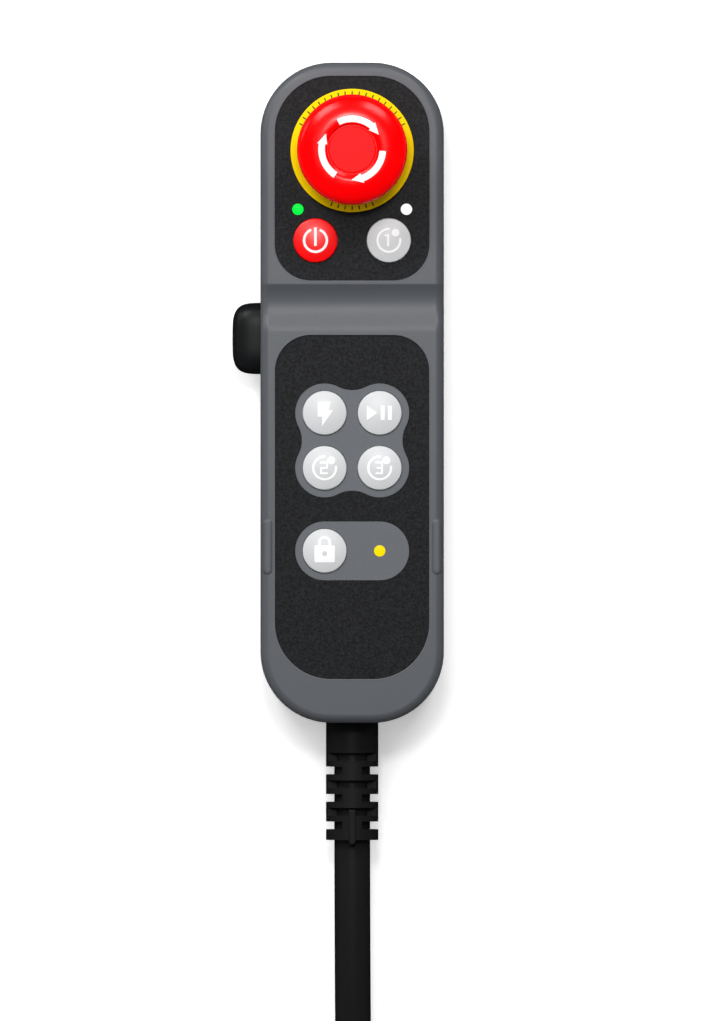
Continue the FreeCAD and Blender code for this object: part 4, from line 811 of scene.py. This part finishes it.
# %% The mushroom head
STOP_X, STOP_Y = middle("estop_head").x, middle("estop_head").y
PANEL_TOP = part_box("upper_panel")[1].z
HEAD_LOW, HEAD_TOP = (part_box("estop_head")[k].z - PANEL_TOP for k in (0, 1))
HEAD_RADIUS = 15 * MM
CREST = 8.7 * MM
CROWN = 11 * MM
DISH = 4 * MM
MOAT_OUTER, MOAT_INNER = 6.95 * MM, 6.3 * MM
MOAT_FLOOR = HEAD_TOP - 1.4 * MM
DISC_TOP = HEAD_TOP - 0.7 * MM
EDGE = 2.6 * MM
CAVITY, CAVITY_TOP = 12.3 * MM, HEAD_LOW + 3.8 * MM
SOCKET, SOCKET_TOP = 3.08 * MM, HEAD_LOW + 6.8 * MM


def stop_red():
    """Smooth red plastic, a little lighter on the flat disc."""
    finish = Finish("stop_red", (0.93, 0.001, 0.002), 0.2, Specular_IOR_Level=0.2)
    centred = finish.node(
        "Mapping", sockets={"Vector": finish.place(), "Location": (-STOP_X, -STOP_Y, 0)}
    )
    parts = [finish.node("SeparateXYZ", sockets={0: centred}, output=k) for k in (0, 1)]
    squared = parts[0] * parts[0] + parts[1] * parts[1]
    disc = squared < (MOAT_INNER - 0.05 * MM) ** 2
    cloud = finish.noise(0.15, detail=2)
    skin = finish.mix(cloud, (0.92, 0.0, 0.001), (0.97, 0.001, 0.002))
    finish.feed("Base Color", finish.mix(disc, skin, (0.95, 0.006, 0.008)))
    finish.feed("Roughness", disc * 0.35 + 0.2)
    finish.bump(finish.noise(0.6, detail=2), 0.01 * MM)
    return finish


def head_profile():
    centre = HEAD_RADIUS - EDGE
    crown_z = HEAD_TOP - CROWN
    centre_z = crown_z + math.sqrt((CROWN - EDGE) ** 2 - (centre - CREST) ** 2)
    turn = math.degrees(math.atan2(centre_z - crown_z, centre - CREST))
    dip = math.degrees(math.asin((CREST - MOAT_OUTER) / DISH))
    lip = 0.4 * MM
    soft = 0.22 * MM
    return [
        (0, SOCKET_TOP), (SOCKET, SOCKET_TOP), (SOCKET, CAVITY_TOP), (CAVITY, CAVITY_TOP),
        (CAVITY, HEAD_LOW), (HEAD_RADIUS - lip, HEAD_LOW), (HEAD_RADIUS - lip, HEAD_LOW + lip, 90),
        (HEAD_RADIUS, centre_z), (centre, centre_z, turn), (CREST, crown_z, 90 - turn),
        (CREST, HEAD_TOP - DISH, dip), (MOAT_OUTER, MOAT_FLOOR + soft),
        (MOAT_OUTER - soft, MOAT_FLOOR + soft, -90), (MOAT_INNER + soft, MOAT_FLOOR),
        (MOAT_INNER + soft, MOAT_FLOOR + soft, -90), (MOAT_INNER, DISC_TOP - soft),
        (MOAT_INNER - soft, DISC_TOP - soft, 90), (0, DISC_TOP),
    ]


stop_place = Vector((STOP_X, STOP_Y, PANEL_TOP))
red = stop_red()
head = moved(turned(head_profile(), steps=160, arc_steps=220), stop_place)
add_piece("estop_head_cap", head, "stop_mushroom", red, replaces=("estop_head",))


# %% The release arrows and the yellow plate
def head_height(x, y):
    """Height of the ridge above the head's crest plane, near the crest."""
    r = math.hypot(x, y)
    curve = CROWN if r > CREST else DISH
    return math.sqrt(curve**2 - (r - CREST) ** 2) - curve


def release_arrow(bm, start):
    """A clockwise arrow that begins at an angle from the top."""
    inner, outer = 7.42, 9.2
    sweep, tip = 68, 88
    band(bm, inner, outer, 90 - start - sweep, 90 - start)
    corners = []
    for radius, angle in ((6.9, sweep), (9.66, sweep - 1), (8.3, tip)):
        turn = math.radians(90 - start - angle)
        corners.append((radius * math.cos(turn), radius * math.sin(turn)))
    shape(bm, corners)


bm = bmesh.new()
for start in (-27, 93, 213):
    release_arrow(bm, start)
ink_layer(bm, head_height)
moved(bm, Vector((STOP_X, STOP_Y, PANEL_TOP + HEAD_TOP)))
add_piece("release_arrows", bm, "stop_mushroom", white_ink)

ring_low, ring_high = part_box("estop_ring")
ring_radius = (ring_high.x - ring_low.x) / 2
ring_thickness = ring_high.z - ring_low.z
plate_bore = 8.1 * MM
soft = 0.15 * MM
plate = turned([
    (plate_bore, 0), (ring_radius, 0), (ring_radius, ring_thickness - soft),
    (ring_radius - soft, ring_thickness - soft, 90), (plate_bore, ring_thickness), (plate_bore, 0),
], steps=128)
add_piece("stop_plate", moved(plate, stop_place), "housing", stop_yellow,
          replaces=("estop_ring",))

TICK_STEP = 7
TICK_ANGLES = [*range(-63, 64, TICK_STEP), *range(159, 202, TICK_STEP)]  # clockwise from the top
bm = bmesh.new()
for angle in TICK_ANGLES:
    tick = bmesh.new()
    bar(tick, -0.16, 0.16, 15.1, 16.2)
    bmesh.ops.rotate(tick, verts=tick.verts, matrix=Matrix.Rotation(math.radians(-angle), 3, "Z"))
    add_mesh_to(bm, tick)
ink_layer(bm, lambda x, y: 0, thickness=0.02 * MM)
moved(bm, Vector((STOP_X, STOP_Y, PANEL_TOP + ring_thickness)))
add_piece("stop_plate_marks", bm, "housing", black_ink)

# %% [markdown]
# ## The cable
#
# The cable is one length of round black jacket. It leaves the strain relief, drops to the table and is
# wound into a hank of two rows and four layers, and its free end carries the connector. A smooth
# spline through listed points is right for something flexible. The hank's points come from a loop.

# %% The cable's line
CABLE = 9.8 * MM
ROUTE = ((0, -93, 18), (0, -146, 18), (0.5, -201, 8), (17, -253, 5.9))
TAIL = ((-58.4, -283, 15.4), (-58.2, -251, 12.4), (-58.3, -227, 12.1))
HANK_X = -19.1
NEAR_Y, FAR_Y = -271, -346
LAYERS = (5.9, 15.7, 25.5, 35.3)
OUTER, INNER = 4 * 9.8, 3 * 9.8  # from the hank's middle to the strands of each row
LANES = (
    (OUTER, 0), (INNER, 0), (INNER, 1), (INNER, 2), (INNER, 3), (OUTER, 3), (OUTER, 2), (OUTER, 1)
)
FOLD_STEPS = 5
BULGE = 1 / 0.9515  # a fold's control points lie this much outside its curve


def fold(y, from_lane, to_lane, side, hump, rng):
    """Control points of a fold from one lane to the next. side is 1 at the near end, -1 at the far."""
    points = []
    for k in range(FOLD_STEPS):
        t = (k + 0.5) / FOLD_STEPS
        angle = math.pi * t
        early = min(1, 1.5 * t)
        ease = early * early * (3 - 2 * early)
        reach = (from_lane[0] * (1 - ease) + to_lane[0] * ease) * BULGE
        height = LAYERS[from_lane[1]] * (1 - ease) + LAYERS[to_lane[1]] * ease
        height += hump * math.sin(angle) ** 2 + rng.uniform(-0.1, 0.25)
        x = HANK_X + reach * math.cos(angle) * (1 if side < 0 else -1)
        points.append((x, y + side * reach * math.sin(angle), height))
    return points


def straight(lane, x_side, start, end, rng):
    """Control points of one straight strand."""
    x = HANK_X + x_side * lane[0]
    height = LAYERS[lane[1]]
    return [
        (x + rng.uniform(-0.15, 0.15), start + (end - start) * t, height + rng.uniform(0, 0.15))
        for t in (0.08, 0.36, 0.64, 0.92)
    ]


def cable_points():
    rng = random.Random(5)
    points = list(ROUTE)
    for turn, lane in enumerate(LANES):
        points += straight(lane, 1, NEAR_Y, FAR_Y, rng)
        points += fold(FAR_Y, lane, lane, -1, 0, rng)
        points += straight(lane, -1, FAR_Y, NEAR_Y, rng)
        if turn < len(LANES) - 1:
            points += fold(NEAR_Y, lane, LANES[turn + 1], 1, 0.5, rng)
    return [Vector(p) * MM for p in points + list(TAIL)]


def add_cable(finish):
    points = cable_points()
    data = bpy.data.curves.new("cable", "CURVE")
    data.dimensions = "3D"
    data.resolution_u = 8
    spline = data.splines.new("NURBS")
    spline.points.add(len(points) - 1)
    for point, place in zip(spline.points, points):
        point.co = (*place, 1)
    spline.order_u = 3
    spline.use_endpoint_u = True
    data.bevel_depth = CABLE / 2
    data.bevel_resolution = 6
    data.use_fill_caps = True
    data.materials.append(finish.material)
    cable = bpy.data.objects.new("cable", data)
    bpy.context.scene.collection.objects.link(cable)
    return cable


cable = add_cable(jacket)
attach(cable, "housing")
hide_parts("cable_tube", "cable_tail", "cable_hank")

# %% [markdown]
# ## The connector
#
# The cord ends in a round metal connector: a cable nut with flutes, a plain shell and a knurled
# coupling ring that turns freely. All three are turned, and the flutes and the knurl are made by
# pushing alternate faces in.

# %% The connector's turned parts
PLUG = Vector((middle("plug_shell").x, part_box("plug_cable_nut")[0].y, middle("plug_shell").z))
ALONG_Y = Matrix.Rotation(math.radians(-90), 3, "X")


def grooved(bm, low, high, radius, every, width, depth):
    """Pushes bands of faces on a turned side towards its axis, every few faces round it."""
    picked = []
    for face in bm.faces:
        centre = face.calc_center_median()
        if low < centre.z < high and abs(math.hypot(centre.x, centre.y) - radius) < 0.3 * MM:
            index = round((math.atan2(centre.y, centre.x) / (2 * math.pi) + 1) * every * 2)
            if index % 2 == 0:
                picked.append(face)
    made = bmesh.ops.inset_individual(bm, faces=picked, thickness=width, depth=-depth)
    return len(made["faces"])


def plug_length(node):
    low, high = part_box(node)
    return low.y - PLUG.y, high.y - PLUG.y


nut_start, nut_end = plug_length("plug_cable_nut")
nut_r = 10 * MM
bore = 4.93 * MM
nut = turned([
    (bore, nut_start), (nut_r - 2.5 * MM, nut_start), (nut_r, nut_start + 4 * MM),
    (nut_r, nut_end - 1 * MM), (nut_r - 0.7 * MM, nut_end), (bore, nut_end), (bore, nut_start),
], steps=72)
grooved(nut, nut_start + 4 * MM, nut_end - 1 * MM, nut_r, 18, 0.15 * MM, 0.5 * MM)
add_piece("plug_cable_nut_fluted", moved(nut, PLUG, ALONG_Y), "housing", nickel,
          replaces=("plug_cable_nut",))

shell_start, shell_end = plug_length("plug_shell")
ring_start, ring_end = plug_length("plug_coupling_ring")
shell_r, journal, nose, inside = 10.5 * MM, 9.8 * MM, 9 * MM, 7.7 * MM
shell = turned([
    (bore, shell_start), (shell_r - 1.2 * MM, shell_start), (shell_r, shell_start + 1.2 * MM),
    (shell_r, shell_start + 6 * MM), (shell_r - 0.5 * MM, shell_start + 6.5 * MM),
    (shell_r - 0.5 * MM, shell_start + 8 * MM), (shell_r, shell_start + 8.5 * MM),
    (shell_r, ring_start - 1.2 * MM), (shell_r - 0.6 * MM, ring_start - 0.4 * MM),
    (journal, ring_start - 0.4 * MM), (journal, ring_end), (nose, ring_end),
    (nose, shell_end - 0.6 * MM), (nose - 0.6 * MM, shell_end), (inside, shell_end),
    (inside, ring_start), (bore, ring_start), (bore, shell_start),
], steps=96)
add_piece("plug_shell_turned", moved(shell, PLUG, ALONG_Y), "housing", nickel,
          replaces=("plug_shell",))

ring_r, ring_bore = 12 * MM, 9.88 * MM
ring = turned([
    (ring_bore, ring_start), (ring_r - 1.2 * MM, ring_start), (ring_r, ring_start + 1.2 * MM),
    (ring_r, ring_start + 2.0 * MM), (ring_r, ring_end - 2.0 * MM), (ring_r, ring_end - 1.2 * MM),
    (ring_r - 1.2 * MM, ring_end), (ring_bore, ring_end), (ring_bore, ring_start),
], steps=96)
grooved(ring, ring_start + 2.1 * MM, ring_end - 2.1 * MM, ring_r, 48, 0.08 * MM, 0.35 * MM)
add_piece("plug_coupling_ring_knurled", moved(ring, PLUG, ALONG_Y), "coupling_ring", nickel,
          replaces=("plug_coupling_ring",))

# %% [markdown]
# ## The hank's ties
#
# Two straps hold the wound cable. A strap is one closed loop of woven tape, so a rounded outline is
# swept to the tape's width and then given its thickness.

# %% The ties
def woven(name, colour):
    """Woven tape: fine ribs across and along the strap."""
    finish = Finish(name, colour, 0.85, Specular_IOR_Level=0.15)
    place = finish.place()
    ribs = []
    for direction in ("Y", "DIAGONAL"):
        settings = {"wave_type": "BANDS", "bands_direction": direction}
        sockets = {"Vector": place, "Scale": 250.0, "Distortion": 1.0, "Detail": 1.0}
        ribs.append(finish.node("TexWave", settings, sockets, output="Fac"))
    weave = ribs[0] * ribs[1]
    tint = finish.mix(weave, scaled(colour, 0.6), scaled(colour, 1.8))
    finish.feed("Base Color", tint)
    finish.bump(weave, 0.15 * MM)
    return finish


tie_tape = woven("tie_tape", (0.015, 0.015, 0.016))


def outline_loop(bm, low_x, high_x, low_z, high_z, radius):
    """A rounded rectangle of edges in the XZ plane."""
    made = bmesh.ops.create_grid(bm, x_segments=1, y_segments=1, size=0.5)
    bmesh.ops.scale(bm, verts=made["verts"], vec=(high_x - low_x, high_z - low_z, 1))
    bmesh.ops.rotate(bm, verts=made["verts"], matrix=Matrix.Rotation(math.radians(90), 3, "X"))
    middle_spot = ((low_x + high_x) / 2, 0, (low_z + high_z) / 2)
    bmesh.ops.translate(bm, verts=made["verts"], vec=middle_spot)
    bmesh.ops.bevel(
        bm, geom=bm.verts[:], offset=radius, segments=6, profile=0.5, affect="VERTICES", material=-1
    )
    bmesh.ops.delete(bm, geom=bm.faces[:], context="FACES_ONLY")


TAPE = 1.0 * MM
TAPE_WIDTH = 12 * MM
TIE_SLACK = 0.4 * MM
TIE_CORNER = 4 * MM
TIES = ((-3.5, -318 * MM), (3.5, -300 * MM))  # each tie's cables across from the hank's middle, and its Y
tie_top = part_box("hank_ties")[1].z
both_ties = bmesh.new()
half_width = CABLE + TIE_SLACK + TAPE
for across, tie_y in TIES:
    x = HANK_X * MM + across * CABLE
    bm = bmesh.new()
    outline_loop(bm, x - half_width, x + half_width, 0, tie_top, TIE_CORNER)
    made = bmesh.ops.extrude_edge_only(bm, edges=bm.edges[:])
    verts = [g for g in made["geom"] if isinstance(g, bmesh.types.BMVert)]
    bmesh.ops.translate(bm, verts=verts, vec=(0, TAPE_WIDTH, 0))
    bmesh.ops.translate(bm, verts=bm.verts, vec=(0, tie_y - TAPE_WIDTH / 2, 0))
    bmesh.ops.recalc_face_normals(bm, faces=bm.faces)
    bmesh.ops.solidify(bm, geom=bm.faces[:], thickness=TAPE)
    add_mesh_to(both_ties, bm)
add_piece("hank_ties_woven", both_ties, "housing", tie_tape, replaces=("hank_ties",))

# %% [markdown]
# ## The case screws
#
# Six machine screws hold the shells together. Their heads sit deep in the back, and each has a
# hexagon socket. A round outline joined to a six-sided one and pushed down makes the socket.

# %% Screw heads
SCREW_HEAD, SCREW_HEIGHT, SOCKET_FLATS = 2.75 * MM, 2 * MM, 1.25 * MM


def socket_screw():
    """A screw that points up, with the flat of its head on the origin and its socket below it."""
    bm = bmesh.new()
    outer = bmesh.ops.create_circle(bm, segments=48, radius=SCREW_HEAD - 0.3 * MM)["verts"]
    inner = bmesh.ops.create_circle(bm, segments=6, radius=SOCKET_FLATS)["verts"]
    bmesh.ops.translate(bm, verts=outer + inner, vec=(0, 0, -SCREW_HEIGHT))
    rim = [e for e in bm.edges if e.verts[0] in outer]
    hexagon = [e for e in bm.edges if e.verts[0] in inner]
    bmesh.ops.bridge_loops(bm, edges=rim + hexagon)
    made = bmesh.ops.extrude_edge_only(bm, edges=hexagon)["geom"]
    floor = [g for g in made if isinstance(g, bmesh.types.BMVert)]
    bmesh.ops.translate(bm, verts=floor, vec=(0, 0, 1.3 * MM))
    bmesh.ops.contextual_create(bm, geom=[g for g in made if isinstance(g, bmesh.types.BMEdge)])
    for radius, step in ((SCREW_HEAD, 0.3 * MM), (SCREW_HEAD, SCREW_HEIGHT - 0.3 * MM),
                         (1.5 * MM, 0), (1.5 * MM, 19 * MM)):
        made = bmesh.ops.extrude_edge_only(bm, edges=rim)["geom"]
        verts = [g for g in made if isinstance(g, bmesh.types.BMVert)]
        for vert in verts:
            flat = Vector((vert.co.x, vert.co.y, 0)).normalized() * radius
            vert.co = (flat.x, flat.y, vert.co.z + step)
        rim = [g for g in made if isinstance(g, bmesh.types.BMEdge)]
    bmesh.ops.contextual_create(bm, geom=rim)
    return bm


head_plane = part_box("case_screws")[0].z + SCREW_HEIGHT
SCREWS = ((18.2, 74), (18.2, -3.2), (16.5, -64))
all_screws = bmesh.new()
for x, y in SCREWS:
    for side in (-1, 1):
        one = moved(socket_screw(), Vector((side * x * MM, y * MM, head_plane)))
        add_mesh_to(all_screws, one)
add_piece("case_screws_socketed", all_screws, "housing", steel, replaces=("case_screws",))
